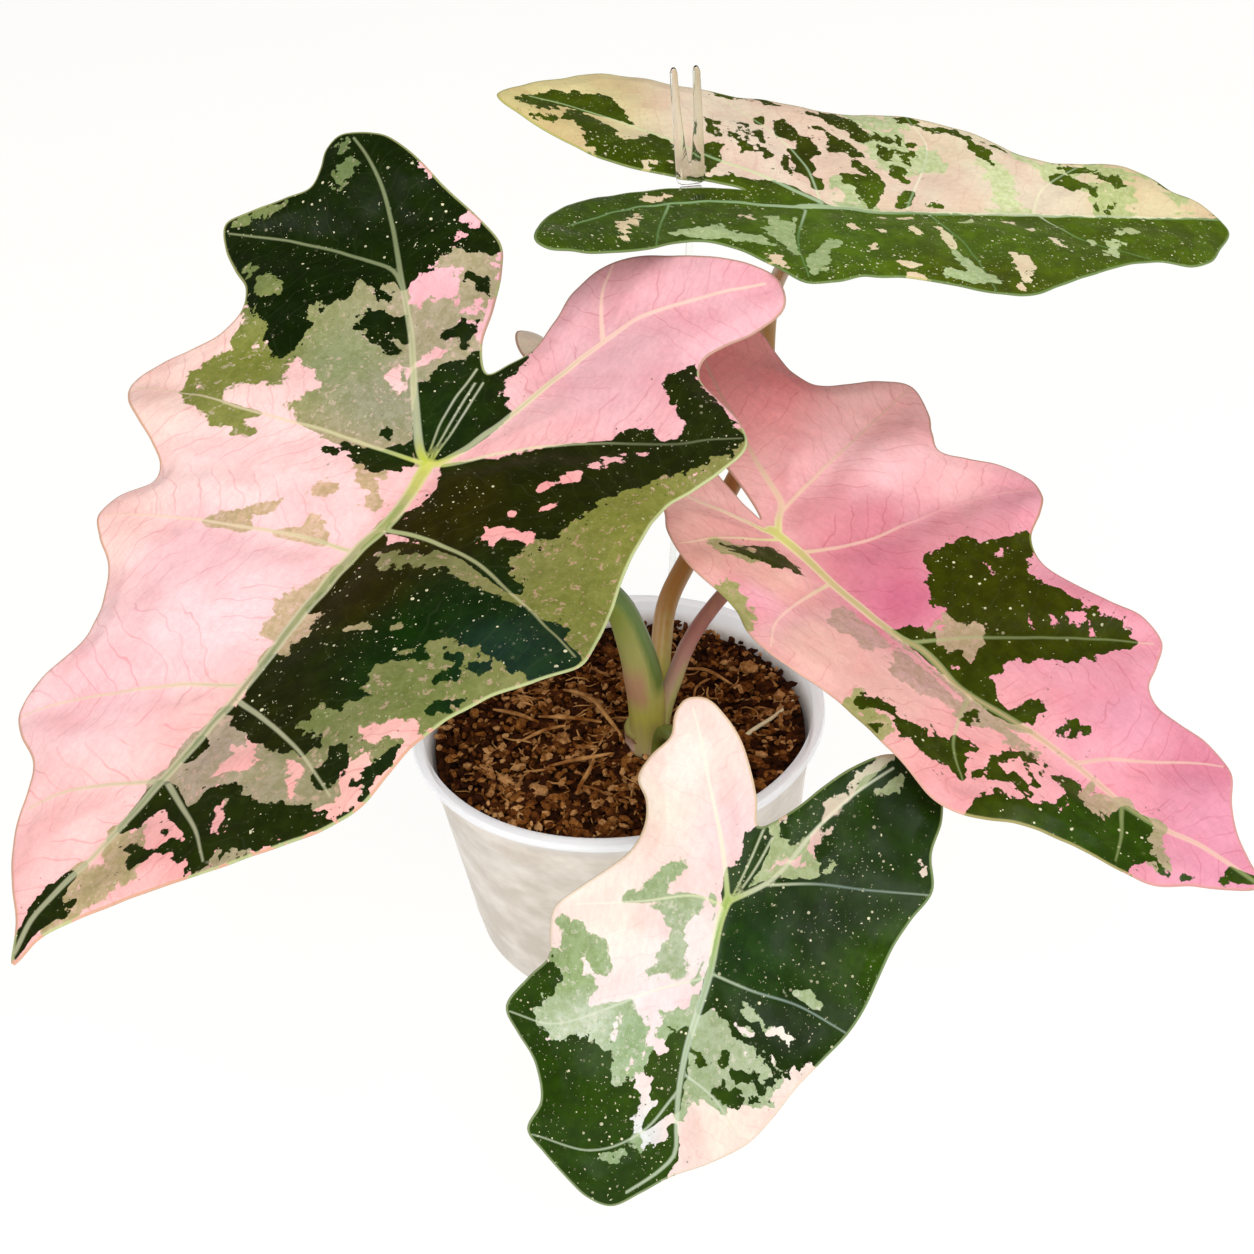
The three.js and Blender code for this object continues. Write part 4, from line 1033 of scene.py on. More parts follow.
LEFT_PATCHES = {
    "green": [
        "-68,14 -64,16 -62,21 -61,26 -57,28 -52,30 -47,33 -48,36 -45,38 -43,35 -41,34 -40,37 -43,39"
        " -43,43 -41,45 -37,44 -33,47 -32,51 -30,52 -28,50 -23,49 -20,50 -15,50 -15,54 -18,58 -23,60"
        " -24,64 -28,70 -36,80 -40,88 -50,94 -58,84 -62,78 -80,78 -92,62 -84,38 -76,20",
        "-38,7 -33,8.5 -30,11 -27,13.5 -22,14 -19,12.5 -13,10 -6,6 -2,3 -3,-1 -8,-5 -14,-8 -21,-9"
        " -26,-7.5 -27,-5 -30,-4.5 -37,-6 -48,-4 -46,8",
        "2.5,4 5,4 7,7 9.5,11 8,12.5 8,16 6.5,18.5 4,19 3.5,15 2.7,8",
        "4,20 7,20 9,21 8,24 7,25.5 5,22.5", "-4,7 0,6 0,10 -2,9", "-5,12.5 -2,12 -2.5,15 -5,14",
        "-37.5,29 -34,27 -31,25.5 -30.5,29 -29,25 -27,24 -26.5,26.5 -27.5,29 -27,33 -29.5,35 -30.5,38.5"
        " -33,39.5 -36,37 -37,34.5",
        "-58,14 -55,12 -53,13 -53,16 -55,19 -57,17",
        "-45,10.5 -36,10 -35,11 -38,13 -36,15 -36,17 -39,16.5 -43,14.5 -42,12.5",
        "-52,-46 -45,-42.5 -43,-42 -40.5,-43 -39.5,-45.5 -37,-46 -36.5,-48.5 -34,-50 -33.5,-52"
        " -28.5,-53 -25.5,-49 -27,-47 -29.5,-45.5 -28.5,-42.5 -28,-40 -26,-38.5 -22,-38.5 -14,-27 -4,-12"
        " 0,-5 3,-5 6,-6.5 14,-6.5 22,-4 24,-14 26,-27 31,-40 30.5,-43.5 28.5,-42 28,-39.5 23,-35.5"
        " 20,-37 17,-43 12,-42.5 5,-45 -1,-47 -9,-50 -17,-55 -23,-61.5 -29,-65 -36,-66 -41,-59 -46,-50",
        "26,-3 26,-17 27,-18.5 29,-15 29.5,-9 31,-5.5 34,-8 37,-10 34,-13 33,-17 31.5,-23 34,-31 34,-38"
        " 37,-47 41,-57 44.5,-65 50,-67 53.5,-61 53,-54 51,-48 50,-42 50,-37 51,-33 54,-34 56,-36 58,-33"
        " 59,-29 62,-26 66,-27.5 69,-27 70,-30 72,-27.5 75,-25 76,-20 77,-19 79,-21 81,-19 82.5,-21"
        " 82,-25 84,-26 85.5,-24 84,-18 81,-9 79,-2 66,-1 63,-3.5 60,-3 57,-4.5 53,-4 50,-1",
        "53,-49 55.5,-49 56,-44 54,-37 52.5,-37 53,-42", "56,-43 59,-45 60,-42 62,-40 59,-39",
        "63,-48 67,-47 69.5,-45 69.5,-43 66,-44", "81,-1 84,-2 86,-8 88,-14 88,-20 86,-19 84,-14 81,-7",
        "90.5,-.5 93,-1.2 95,.5 90.5,.8", "36,-57 38,-59 40,-58 39,-53 36,-55",
        "82,-33 84,-35 88,-36 91,-35 90,-31 87,-29.5 84,-30", "91,-33 92.5,-32 91.5,-30.5",
        "80,-43.5 85,-44 92,-43.5 98,-43 98,-41.5 94,-42 91,-42.5 91,-39 87,-40 84,-40.5",
        "98,-41.5 101,-41 106,-36 112,-29 113,-26 112,-23 115,-21 119,-21.5 122.5,-18 120,-19.5 118,-17"
        " 117,-12 118,-9 121,-8 123,-6 121,-3 119,-4 119,-1 117,0 116.5,-3 118,-7 114,-9 113,-7 110,-5"
        " 107,-3 109,-1 113,0 114,3 110,3 103,2.5 103,-1 105,-4 108,-8 103,-9 100,-10 99,-13 98,-16"
        " 101,-18 101,-24 99,-31 98,-37",
        "132,2 136,1.8 140,5 142,6 146,6 140,8.5 135,10 131,9 128,7 134,6.5 132,4",
    ],
    "green_holes": [
        "-77,60 -72,61 -69,62 -66,63 -68,64.5 -72,66 -77,65", "-84,67 -80,66 -77,68 -80,70 -84,70",
        "-33,61 -31,63 -30,67 -29.5,70 -32,70.5 -36,71 -37,66 -35,63", "-38,73 -36,74 -37,78 -40,79",
        "-60,76 -57,77 -54,82 -50,87 -49,90 -53,88 -58,81", "-73,24 -70,22 -69,27 -71,29 -74,28",
        "-67,25 -65,24.5 -65,27 -67,27.5", "-81,41 -79,42 -80,45 -82,45",
        "-25,-48.5 -22,-47 -20,-44 -16,-41.5 -13,-41.5 -11,-39 -11,-37.5 -13,-38 -17,-40.5 -20,-43"
        " -23,-46.5",
        "-9,-38 -5,-39 -3,-36 -5,-33.5 -9,-36", "-3,-34.5 -1,-34 2,-31.5 1,-30.5 -2,-30.5",
        "14.5,-43 17,-43 18,-40 21,-36 18,-37 17,-36 18,-31 20.5,-30 19,-26 16,-26 14.5,-30 14,-36"
        " 15,-39.5",
        "8,-30 10,-31 12,-28.5 9,-29", "4,-38 5,-35 7,-35 5,-37.5", "-36.5,-62 -33,-63.5 -33,-61.5",
        "49,-24 50,-25 52,-23 51,-21", "50,-17 53,-19 53,-16 55,-13 53,-13 51,-16",
        "55,-32 57,-31 58,-28 56,-27",
        "102,-17 106,-17.5 109,-20 110,-18 113,-17.5 108,-15.5 104,-14.5",
        "112,-24 116,-22 118,-20.5 115,-20.5", "110,-8 112,-13 114,-12.5 112,-6 110,-5",
    ],
    "sage": [
        "-48,37 -45,36 -40,31 -33,27 -26,24 -24,22 -18,18 -14,13 -8,10 -4,5 -1,5 1,8 1.5,20 2,30 1,35"
        " -1,38 0,40 -2,41 -3,38 -6,38 -7,36 -10,36 -12,39 -14,42 -16,46 -17,49 -20,50 -30,53 -44,46"
        " -50,40",
        "-14,50 -12,47 -8,45 -5,45.5 -4.5,48 -5,51 -3,54 -1.5,56 -3,57.5 4,58 5,66 3,69 -2,72.5 -4,72"
        " -5,70 -8,70.5 -12,68 -14,65 -16,67 -23,67.5 -25,66 -24,63 -22,61 -17,60.5 -15,57",
        "5,46 7,48 9,45 9,42.5 11,43 12.5,48 11,48.5 11.5,53 10,57 9,60 7.5,67 5.5,67.5 5.5,58",
        "16,19 17,15 19,13.5 21,14 22,19.5 19,18.5", "26,16 28,11 30,9 33,9 34,16 35,19 33,18 31,15",
        "26,23 30,24 34,28 37,27 38,34 39,36 35,35 31,30 28,26",
        "8,10 12,6 16,2 20,2 19,6 15,7 14,11 11,12", "41,2 60,3 62,6 55,7 52,8 46,6",
        "-61,13 -52,13 -46,13 -46,17 -50,18 -54,18 -57,22 -57,26 -60,25 -61.5,20",
        "-49,18 -40,17 -30,18 -29,20 -35,23 -41,28 -45,25 -48,22",
        "-38,10 -33,8.5 -30,12 -26,15 -23,15.5 -26,16 -32,14 -36,12",
        "-26,-64 -20,-60 -17,-55 -9,-50 -1,-47 5,-45 12,-42.5 15,-43 18,-40 21,-36 25,-37.5 28,-40"
        " 31,-40 34,-46 38,-54 44,-65 36,-68 20,-66 5,-64 -10,-64 -20,-70 -36,-70 -36,-66 -30,-65.5",
        "26,-19 27,-27 33,-42 34.5,-38 34,-31 31.5,-24 33,-15 37,-10 33,-8 30,-8 29,-13",
        "53,-62 57,-60 62,-52 70,-47 75,-46 72,-44 74,-40 76,-37 78,-33 83,-35 84,-30 90,-30 88,-25"
        " 84,-20 80,-15 75,-18 60,-24 50,-33 48,-45 52,-55",
        "50,-1 53,-4 57,-4.5 60,-3 63,-3 65,-1",
        "84,-1 86,-5 89,-7.5 92,-9 96,-8.5 102,-8.5 105,-7 103,-3 103,1 88,1",
        "88,-20 92,-24 95,-27 100,-30 101,-22 101,-18 98,-16 98,-13.5 95,-16 88,-16",
        "90,-31 94,-35 98,-33 99,-30 95,-27 91,-28",
        "120,-3 124,-6 130,-5 134,0 138,3 132,3 128,4 122,2 118,3 116,-1",
        "113,-27 118,-24 119,-22.5 116,-22.5 112.5,-24", "79,-41 82,-41 81,-38",
        "-78,58 -66,62 -67,67 -84,72 -86,64",
        "-38,60 -29,60 -29,72 -42,82 -60,92 -62,76 -54,78 -48,86 -40,76", "48,-26 53,-25 56,-13 50,-12",
        "54,-33 59,-31 58,-26 54,-27",
    ],
    "sage_holes": [
        "-24,23.5 -23,20 -18,16 -16,19 -19,23", "-1,68 1,65 2,66.5",
    ],
}
LEFT_TONES = {
    "pale":
        "60,22,#f2ced0 48,34,#e9b9bc 20,40,#f5d2ce -10,74,#f4d2c6 8,80,#f4d4c6 48,58,#f4d0c6"
        " 90,30,#f1c4c6 112,14,#f0c0bc -50,-28,#d9a7ad -70,-45,#dfa7af -50,24,#eab4ba -20,30,#efc4c0"
        " 94,-38,#eeb7ac 86,-8,#e8b4ac 12,-34,#eaa6a2 105,-14,#ebaaa6",
    "mid":
        "-20,36,#8e936b -12,20,#96937a -10,58,#7c8038 0,65,#80823e 8,54,#868746 18,17,#cfab8e"
        " 32,14,#cfae92 50,4,#c9ab90 -54,15,#b0a184 -40,20,#ad9f86 0,-56,#7b7b38 30,-56,#77783a"
        " 30,-15,#77774a 66,-38,#737a44 80,-22,#757c4a 94,-4,#af9b8a 96,-22,#a3977c 126,0,#b59f7c"
        " -74,64,#6c7a4e -40,78,#75824c",
    # the bluish tone at 47,-47 is a painted gloss highlight on the dark green
    "deep":
        "-60,55,#101c01 -30,50,#0c1800 0,-30,#1a1d00 10,-16,#241f00 20,-45,#151a00 24,-9,#241e02"
        " 44,-10,#231d02 50,-28,#0c2202 38,-40,#0c2002 60,-36,#0d2404 47,-47,#182c22 80,-12,#1a1c02"
        " 110,-20,#1a2203 -10,5,#142406",
    "vein_pale":
        "0,0,#c6cc5c -9,7,#e0caa8 -9,-7,#dccfae 3,10,#e2cdac -6,-12,#e0ccb0 20,0,#c9c296 60,0,#cfc0a0"
        " 60,40,#e9c6b2 -60,-30,#ecc3b4 0,50,#e6c8ae 120,5,#cbbd9c -30,20,#d2c8a4",
    "vein_deep":
        "0,0,#c0c84e -9,7,#a8ae90 -8,-7,#a8ae8c -2,-11,#9da27c 22,0,#b3b884 60,0,#aeb092"
        " 110,0,#a8a888 -60,50,#7d8660 30,-50,#8f9166 40,-20,#a9a67c -50,-22,#b0aa84 -20,-50,#5a6042"
        " -16,0,#b9bca4 40,20,#d9c3a4",
    "vein_core":
        "0,0,#c4cf22 7,-1,#a9b636 16,-1,#7f9248 40,1,#6f8048 75,1,#748256 120,4,#858f62 -10,8,#b9b894"
        " -10,-7,#b8b894 -50,36,#74805e -50,-22,#b4ac84 3,12,#b9b48c",
    "rim_pale": "60,50,#c99a7a 0,80,#cf9e7c -60,-50,#a8866c",
    "rim_deep": "0,-60,#b9c08c 60,-50,#b4bc84 -60,70,#a5a86c",
}
LEFT["quilt"] = 1.5
leaf_left = blade("leaf_left_skin", LEFT, LEFT_MARGIN, LEFT_VEINS, LEFT_PATCHES, LEFT_TONES, 3)
blade_finish("left_blade", leaf_left)
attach(leaf_left, "root")
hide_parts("leaf_left")

# Right leaf: rose pink and glossy, deeper at its upper left lobe and peach below, with dark olive
# patches near the middle of the upper side and along the lower margin.
RIGHT_MARGIN = (
    "-8,-1 -14,-1.3 -22,-2.6 -32,-4 -44,-4.5 -56,-3 -70,-3 -84,0 -98,5 -102,13 -93,20 -78,20 -64,20"
    " -50,20 -36,22 -22,25 -14,31 -6,35 3,37 12,36 20,37 28,41 36,42 44,40 53,37 63,37 73,38 81,38"
    " 90,39 97,37 103,32 108,26 115,21 123,17 131,14 138,10 143,2 154,-10 148,-13 142,-16 136,-21"
    " 130,-28 121,-30 113,-29 106,-29 101,-32 98,-39 94,-46 86,-48 76,-45 66,-44 56,-44 48,-48 44,-56"
    " 40,-62 32,-67 23,-65 15,-59 8,-55 1,-60 -7,-68 -18,-72 -26,-65 -31,-56 -37,-49 -46,-49 -57,-52"
    " -68,-53 -78,-48 -83,-40 -80,-31 -72,-22 -62,-17 -50,-12 -38,-9 -26,-6.8 -15,-4")
RIGHT_VEINS = [
    ("mid", "-3,0 7,0 25,2 45,2 54,0 70,2 84,-1 105,-3 118,-3 129,-5 138,-8 153,-10"),
    ("rear", "0,0 -5,-5 -8,-9 -19,-13 -30,-17 -41,-21.6 -52,-25.2 -66,-31.3"),
    ("rear", "0,0 -11,5 -18,9 -25,14 -45,13 -70,10"), ("side", "1,2 -5,17 -7,33"),
    ("side", "-6,-6 -9,-23 -12,-40 -16,-58 -18,-71"), ("side", "8,0 17,-14 22,-30 27,-48 36,-63"),
    ("side", "50,0 58,-10 71,-23 81,-33 93,-44"), ("side", "102,-2 108,-10 115,-16 122,-23 128,-28"),
    ("side", "22,2 25,19 29,32 35,40"), ("side", "72,2 77,13 82,21 91,28"),
    ("side", "118,-3 124,5 128,13"),
]
RIGHT_PATCHES = {
    "green": [
        "46,-49 52,-47 53,-41 57,-37.8 62,-37.5 69,-39 80,-40.5 81,-42.5 87,-42 87,-40.5 89.5,-40.5"
        " 90,-38 87,-33 84,-25 83,-23 79,-21 77,-18 75,-15 72,-15 72,-12 73,-9 72,-6.3 74,-5.5 76,-3.7"
        " 80,-2 82,-2 83,-9 85,-10 88,-8.5 88.5,-5 86,-4 85,-1.5 80,1 54,1 45,.5 45,-2 50,-5 52,-5.5"
        " 55,-3 60,-6 66,-7 64,-9 64,-13 61,-17.5 58,-17 55,-13 49,-13 44,-12 42,-14 38,-18 34.5,-21"
        " 33.5,-25 36,-31 36.5,-34 39,-37 40.5,-35.5 43.5,-41 44.5,-45",
        "93,-10 95,-12 97,-11 99,-12.5 100.5,-11.5 99.5,-10 98,-10 98,-7 96,-5.5 94,-6.5 94.5,-9",
        "3,8 6,6.5 14,7 17,8 16,10 14,12 12,15 8,17 5,19 2,21 -1,22.5 -2.5,21 0,19 0,16 1,12",
        "81,18 84,16 86,18 86,21 90,26.5 90,28 86,28 84,30 83,31.5 79,32.5 76,32 73,34 71,32 69,30.5"
        " 66,31.5 60,35 59,32 61,30 65,28 69,28.5 74,26 75,22.5 78,21 81,21",
        "66,36 69,35 70,37.5 66,37.5",
        "93,7 95,4.5 97,5 98,7 96,8 94,11 93,15 95,17 98,15 101,16 104,17.5 105,19 101,19 97,20 95,23"
        " 93,23 92.5,25.5 91.5,24 91,20 90.5,14 91,10",
        "98.5,4 99.5,4 100.5,9 99.5,8.5", "96,8.5 99,11 103,13 105,15.5 103,15 99,12.5",
        "103,7 103,4 105,1 108,1 109.5,3 109,5 112,6 114,7 118,5 118,2 120,-2.5 124,-3.5 127,-3 129,0"
        " 132,3 135,5 138,5 137,7 134,5.5 132,8 131,12 133,14 126,19 118,23 110,29 103,34 98.5,36 97,30"
        " 98,24 102,24 103,20 106,18 109,15 109.5,10 107,8 104,6.5",
        "76,5 78,5 80,6 79,9 79,11.5 77.5,11", "146,-5 147,-8 152,-10 150,-7 147,-3.5",
        "139.5,3 142,0 144,-1.5 142,1 140,4",
    ],
    "green_holes": [
        "72,-34 74,-38 76,-37 77,-34 75,-32.5", "79,-36 83,-36 82,-33 80,-32.5",
        "70,-31 72,-31 73,-28.5 71,-28.5", "65,-28 68,-25 71,-24.5 67,-26",
        "46,-38 47,-40 47.5,-37 46,-34", "47,-32 50,-29.5 48,-32",
        "61,.5 62,-2 64,-4 63.5,-1.5 62.5,.5", "95.5,-10 97,-9 96.5,-7 95.5,-8", "1,14 3,12 4,15 2,17",
        "75.5,24 78,22 77.5,26 75.5,26",
    ],
    "sage": [
        "53,-12 56,-13 58,-17 60,-17.5 63,-17 64,-13 64,-10 62,-8 57,-5 54,-6 53,-9",
        "31,7 40,6 49,7 51,10 49,12 48,17 45,18.5 44,16 39,18.5 35,18.5 33,16 31.5,12",
        "50,6 73,7 73,10 69,13 66,16 60,17.5 56,17.5 53,14 51,10",
        "77,4 80,3 93,1.5 93,4 90,6.5 86,6 83,7.5 80,8.5", "112,0 118,-2 118,4 115,7 112,5",
        "128,-3 131,-1 135,3 134,5 131,2", "7,34 12,31 18,32 24,35 27,38 30,42 22,40 14,37",
        "57,32 60,35 66,36 69,35 69,39 60,39 58,34.5", "2,16 6,18 2,23 -4,24",
    ],
}
RIGHT_TONES = {
    # the bright pinks at -45,-35, -60,-28 and -70,-35 and the near white at -97,12 and -90,8 are the
    # leaf's own rose and peach, lightened as painted light against the shade of the left leaf
    # the light spot at 5,-40 is a painted satin sheen
    "pale":
        "-45,-35,#fb9ea2 -70,-35,#fba2a2 -60,-28,#fba0a2 -20,-55,#f6bebc 15,-25,#d58c98 38,-8,#cf7490"
        " 26,-13,#d28092 18,-50,#eeb6b8 35,-30,#d7949e 38,-56,#dc9aa6 5,-40,#f6c8cc 65,-30,#de94a4"
        " 105,-20,#d893a4 125,-22,#cf8498 140,-12,#d68ea2 15,20,#e4b1a3 0,30,#e2ab9e 40,28,#e4b3a7"
        " 60,24,#e3afa5 90,10,#ecaaa8 -35,14,#efc0b6 -60,8,#efc4bc 20,30,#eaa6b2 -82,8,#f2c4a8"
        " -97,12,#fff2dc -90,8,#fdead0 110,-8,#e7a0ac",
    "mid":
        "58,-12,#b39a80 40,12,#c39a94 62,12,#c29992 85,4,#b7a088 115,3,#b59c84 131,1,#a99b7c"
        " 18,34,#a5a06a 62,36,#a5a06a",
    "deep": "60,-30,#2f3202 8,14,#293002 75,28,#2c3402 120,12,#253a04 95,12,#303803",
    "vein_pale":
        "0,0,#dcdc94 -10,-10,#e6c0aa -12,6,#ecd0b4 10,-12,#e6b4ac 20,0,#dccaa2 60,0,#c9b994"
        " 120,-4,#dcb4a4 -40,-25,#dfa294 20,-40,#e3a0a6 -30,12,#eecab8 20,25,#efc6b6",
    "vein_deep": "0,0,#c8cd6e 30,0,#a4ae76 80,0,#7f8a56 70,-25,#6c764a 120,5,#7c8854",
    "vein_core":
        "0,0,#c4cc58 12,1,#b3b85c 34,1,#b4b070 60,1,#c2ab7c 90,-2,#c0a27c -10,-10,#e0c4a4"
        " -12,6,#e2cbaa 12,-10,#dca0a0",
    "rim_pale": "30,-60,#a87c5c 60,38,#d8a692 -60,-50,#b98a76 120,-28,#c58c84",
    "rim_deep": "60,-45,#8a8a48 110,25,#a59a62",
}
RIGHT["quilt"] = 1.6
leaf_right = blade("leaf_right_skin", RIGHT, RIGHT_MARGIN, RIGHT_VEINS, RIGHT_PATCHES, RIGHT_TONES, 5)
blade_finish("right_blade", leaf_right, 0.32, 0.3, 1.2)
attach(leaf_right, "root")
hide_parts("leaf_right")

# Back leaf: the highest one, seen almost edge on. Its near half is green with sage and cream
# flecks, its far half is cream and blush with torn green islands.
BACK_MARGIN = (
    "-18,-7 -27,-7 -38,-5 -49,-1 -60,6 -71,19 -78,34 -80,44 -77,47 -69,44 -59,39 -49,34 -41,28 -33,25"
    " -25,28 -18,35 -11,43 -3,43 6,39 16,38 27,41 37,45 47,43 56,37 66,31 77,24 89,19 100,19 107,15"
    " 113,7 119,-2 118,-6 113,-13 105,-17 98,-23 90,-26 81,-25 71,-24 61,-28 52,-36 43,-39 34,-42"
    " 24,-44 13,-45 3,-47 -8,-53 -20,-57 -32,-58 -43,-64 -53,-64 -64,-56 -75,-48 -83,-39 -77,-31"
    " -68,-24 -59,-17 -48,-13 -36,-11 -26,-10")
BACK_VEINS = [
    ("slim_mid", "-4,0 5,0 16,2 44,1 87,-3 118,-7"),
    ("slim_rear", "0,0 -12,0 -24,-1 -37,2 -52,11 -69,28"),
    ("slim_rear", "2,-2 -14,-15 -23,-20 -35,-28 -47,-34 -60,-41 -74,-42"),
    ("slim_side", "25,0 36,-28 33,-42"), ("slim_side", "-3,2 -9,22 -10,41"),
    ("slim_side", "30,1 36,20 37,44"), ("slim_side", "62,0 72,12 88,18"),
    ("slim_side", "60,0 66,-12 80,-24"), ("slim_side", "-40,4 -45,20 -48,33"),
    ("slim_side", "2,-2 0,-20 -18,-55"),
]
BACK_PATCHES = {
    "green": [
        "-24,-12 -21,-14 -17,-12 -10,-11 -5,-9 0,-4 5,.5 16,2.6 44,2.2 60,.4 87,-1.8 108,-5 120,-7.5"
        " 130,10 90,40 60,60 -90,60 -90,20 -60,-4 -30,-12",
        "-78,-38 -76,-41 -72,-43 -70,-46 -66,-48 -63,-48 -60,-49.5 -56,-50 -53,-49 -51,-48 -49.5,-45"
        " -48,-42 -47,-38 -46,-35 -52,-38 -60,-40.5 -66,-40.5 -68,-36.5 -72,-35 -77,-37",
        "-64,-39 -60,-38.5 -56,-37 -54,-33 -51,-30 -50,-26 -46,-25 -45,-27.5 -41,-29.5 -37,-27.5"
        " -35,-25 -35,-11.5 -50,-10.5 -56,-13 -59,-17 -58,-19 -61,-21 -60,-24 -61,-29 -62,-32 -66,-31.5"
        " -70,-29.5 -75,-31.5 -66,-33 -64,-35",
        "-26,-28.5 -22,-29 -21.5,-26 -23,-24 -22.5,-22 -24,-19 -26.5,-13 -28,-12.5 -28.5,-20 -29,-26",
        "-25,-41 -23,-41 -23,-32 -25,-32", "-22.5,-39 -20.5,-38 -20.5,-30 -22.5,-31",
        "-19,-34 -15,-33 -15,-30 -19,-30", "-14.5,-39 -12.5,-38 -12.5,-31 -14.5,-31",
        "-11,-36 -9,-36 -9,-29 -11,-30", "-10,-42 -8,-42 -8,-39 -10,-39",
        "-6,-39 -3,-40 0,-36 1,-31 -2,-30 -5,-33", "0,-33 4,-31 5,-24 2,-21 -1,-25",
        "-3,-26 2,-24 3,-17 -1,-14 -3,-18", "-6,-24 -4,-24 -4,-15 -6,-16", "1,-14 4,-13 4,-8 1,-9",
        "12,-20 15,-20 18,-15.5 20,-12 20.5,-8 19,-5 17,-2 15,0 14,-4 12,-6 12,-8 9,-10 8.5,-13.5"
        " 13,-14 16,-13 13,-17",
        "15,-34 19,-33 21,-29 18,-27 15,-30", "22,-27 25,-26 26,-21 23,-20 21,-23",
        "24,-18 27,-17 28,-12 25,-11 23,-14", "27,-25 30,-24 30,-19 28,-19",
        "-17,-29 -14,-29 -13,-24 -16,-24", "-12,-27 -9,-27 -8,-22 -11,-21", "5,-36 8,-36 9,-34 6,-34",
        "7,-24 8,-29 9,-33 12,-30 14,-28 16,-25 17,-21 14,-21 12,-24 9,-24",
        "3,-44.5 7,-44 8,-41 5,-41",
        "8,-44.5 13,-44 17,-40 19,-36 20,-32 19,-29.5 17,-30 14,-34 11,-37 8,-40",
        "21,-30 22,-33 24,-31 27,-31 26,-28 23,-28", "28,-32 29,-31 28.5,-27 27,-28",
        "30,-30 32,-30 32.5,-27 32,-22 31,-23 31.5,-27 29.5,-27", "22,-1 24,-5 26,-9 28,-7 26,-2 23,0",
        "30.5,-3 33,-4 35,-1 31,-1.5", "29,-42 34,-41.5 38,-39.5 34,-39 31,-39",
        "35,-39 38,-37.5 43,-37.5 47,-36.5 48,-33.5 50,-32 51,-29 54,-27 54,-24 53.5,-20 50,-23 48,-26"
        " 48,-30 46,-33.5 42,-35 39,-34.5 37,-36.5",
        "52,-32 56,-30 59,-27 62,-25 60,-26 56,-28 54,-29.5",
        "-22,-59 -14,-60 -8,-55 -2,-47 -4,-47 -10,-53 -16,-55 -22,-56",
        "69,-18 73,-19 75,-17.5 78,-16 81,-14 81,-10 80.5,-4 79.7,-5 80,-10 78,-12.5 74,-12 70,-15",
        "83,-20 87,-20 90,-20 91.5,-16 90,-14 86,-15 85,-17", "72,-22.5 80,-22 85,-23.5 79,-20 76,-20",
        "82,-5 85,-8 86,-7 83,-4", "100,-22 104,-20 107,-15 103,-17",
    ],
    "green_holes": [
        "-47,1 -44,-1 -40,-1 -41,1 -43,4 -46,4",
        "-50,13 -49,16 -53,24 -54,28 -55.5,31 -57,28 -57,22 -54,19.5 -52,17",
        "-19.5,30 -16,32 -14,36 -15,37 -18,34",
        "30,10 32,9 33,11 34,16 32,26 34,28 36,31 39,36 40,40 38,41 30,40 25,37 27,35 31,35 31,31 31,26"
        " 30,20",
        "47,24 51,25 51.5,29 50,33 48,37 45,42 44,40 47,35 46,30 46,27",
        "14,32 17,31 20,33 18,34.5 15,34", "14,5.6 17,5 18,6.6", "20,5 26,4 25,6.5 21,7",
        "50,5 54,4 53,7", "55,9 58,8 57,12", "6,12 9,11 9,15 7,15", "13,15 16,14 15,18",
        "22,12 24,11 25,16 23,17", "60,14 64,15 63,18 60,17", "-22,9 -19,8 -19,11", "8,24 11,23 11,26",
        "16,36 21,37 20,40 16,39", "-58,32 -55,31 -54,34",
        "-46,-15 -41,-16 -41,-15 -43,-14.5 -43.5,-11.5 -45,-12", "-39,-17.5 -37,-17 -37,-16",
    ],
    "sage": [
        "31,26 34,28 36,31 39,36 40,40 38,41 30,40 25,37 27,35 31,35 31,31",
        "81,-14 84,-13 88,-14 92,-13 94,-10 90,-8 86,-5 82,-4",
        "84,-22.5 92,-23.5 97,-22 94,-20.5 88,-20", "63,-25 70,-21 76,-20 70,-18 65,-20",
        "104,-13 109,-14 109,-11 105,-10", "34,-24 38,-26 40,-20 39,-14 36,-16 33,-18",
        "50,-20 58,-18 57,-2 50,-3", "20,-30 28,-30 28,-17 22,-18", "18,-44 26,-43 30,-36 24,-34",
        "8,-10 12,-6 14,0 9,-3",
    ],
    "sage_in_green": [
        "-44,24.5 -40,21 -34,19 -30,17 -28,16 -27,19 -23,20 -19,21 -17,24 -16,26 -20,26 -25,24 -30,23.5",
        "-15,8 -13,6 -11,9 -9,10 -6,5 -5,5 -8,14 -9,22 -9,30 -11,30 -12,28 -14,24 -16,21 -17,17 -15,13",
        "-9.5,30 -8,30 -6,28.5 -3,23 -1,21 2,22 1,26 -1,27 -3,30 -3.5,34 -5,38 -9,41 -10,39",
        "77,12 80,10.5 83,12 80,15 78,20 74,20 76,16", "71,11 74,10 75,13 73,15",
        "81,8 83,5 88,3 90,4 86,7 82,9", "38,6 41,5 40,9",
    ],
}
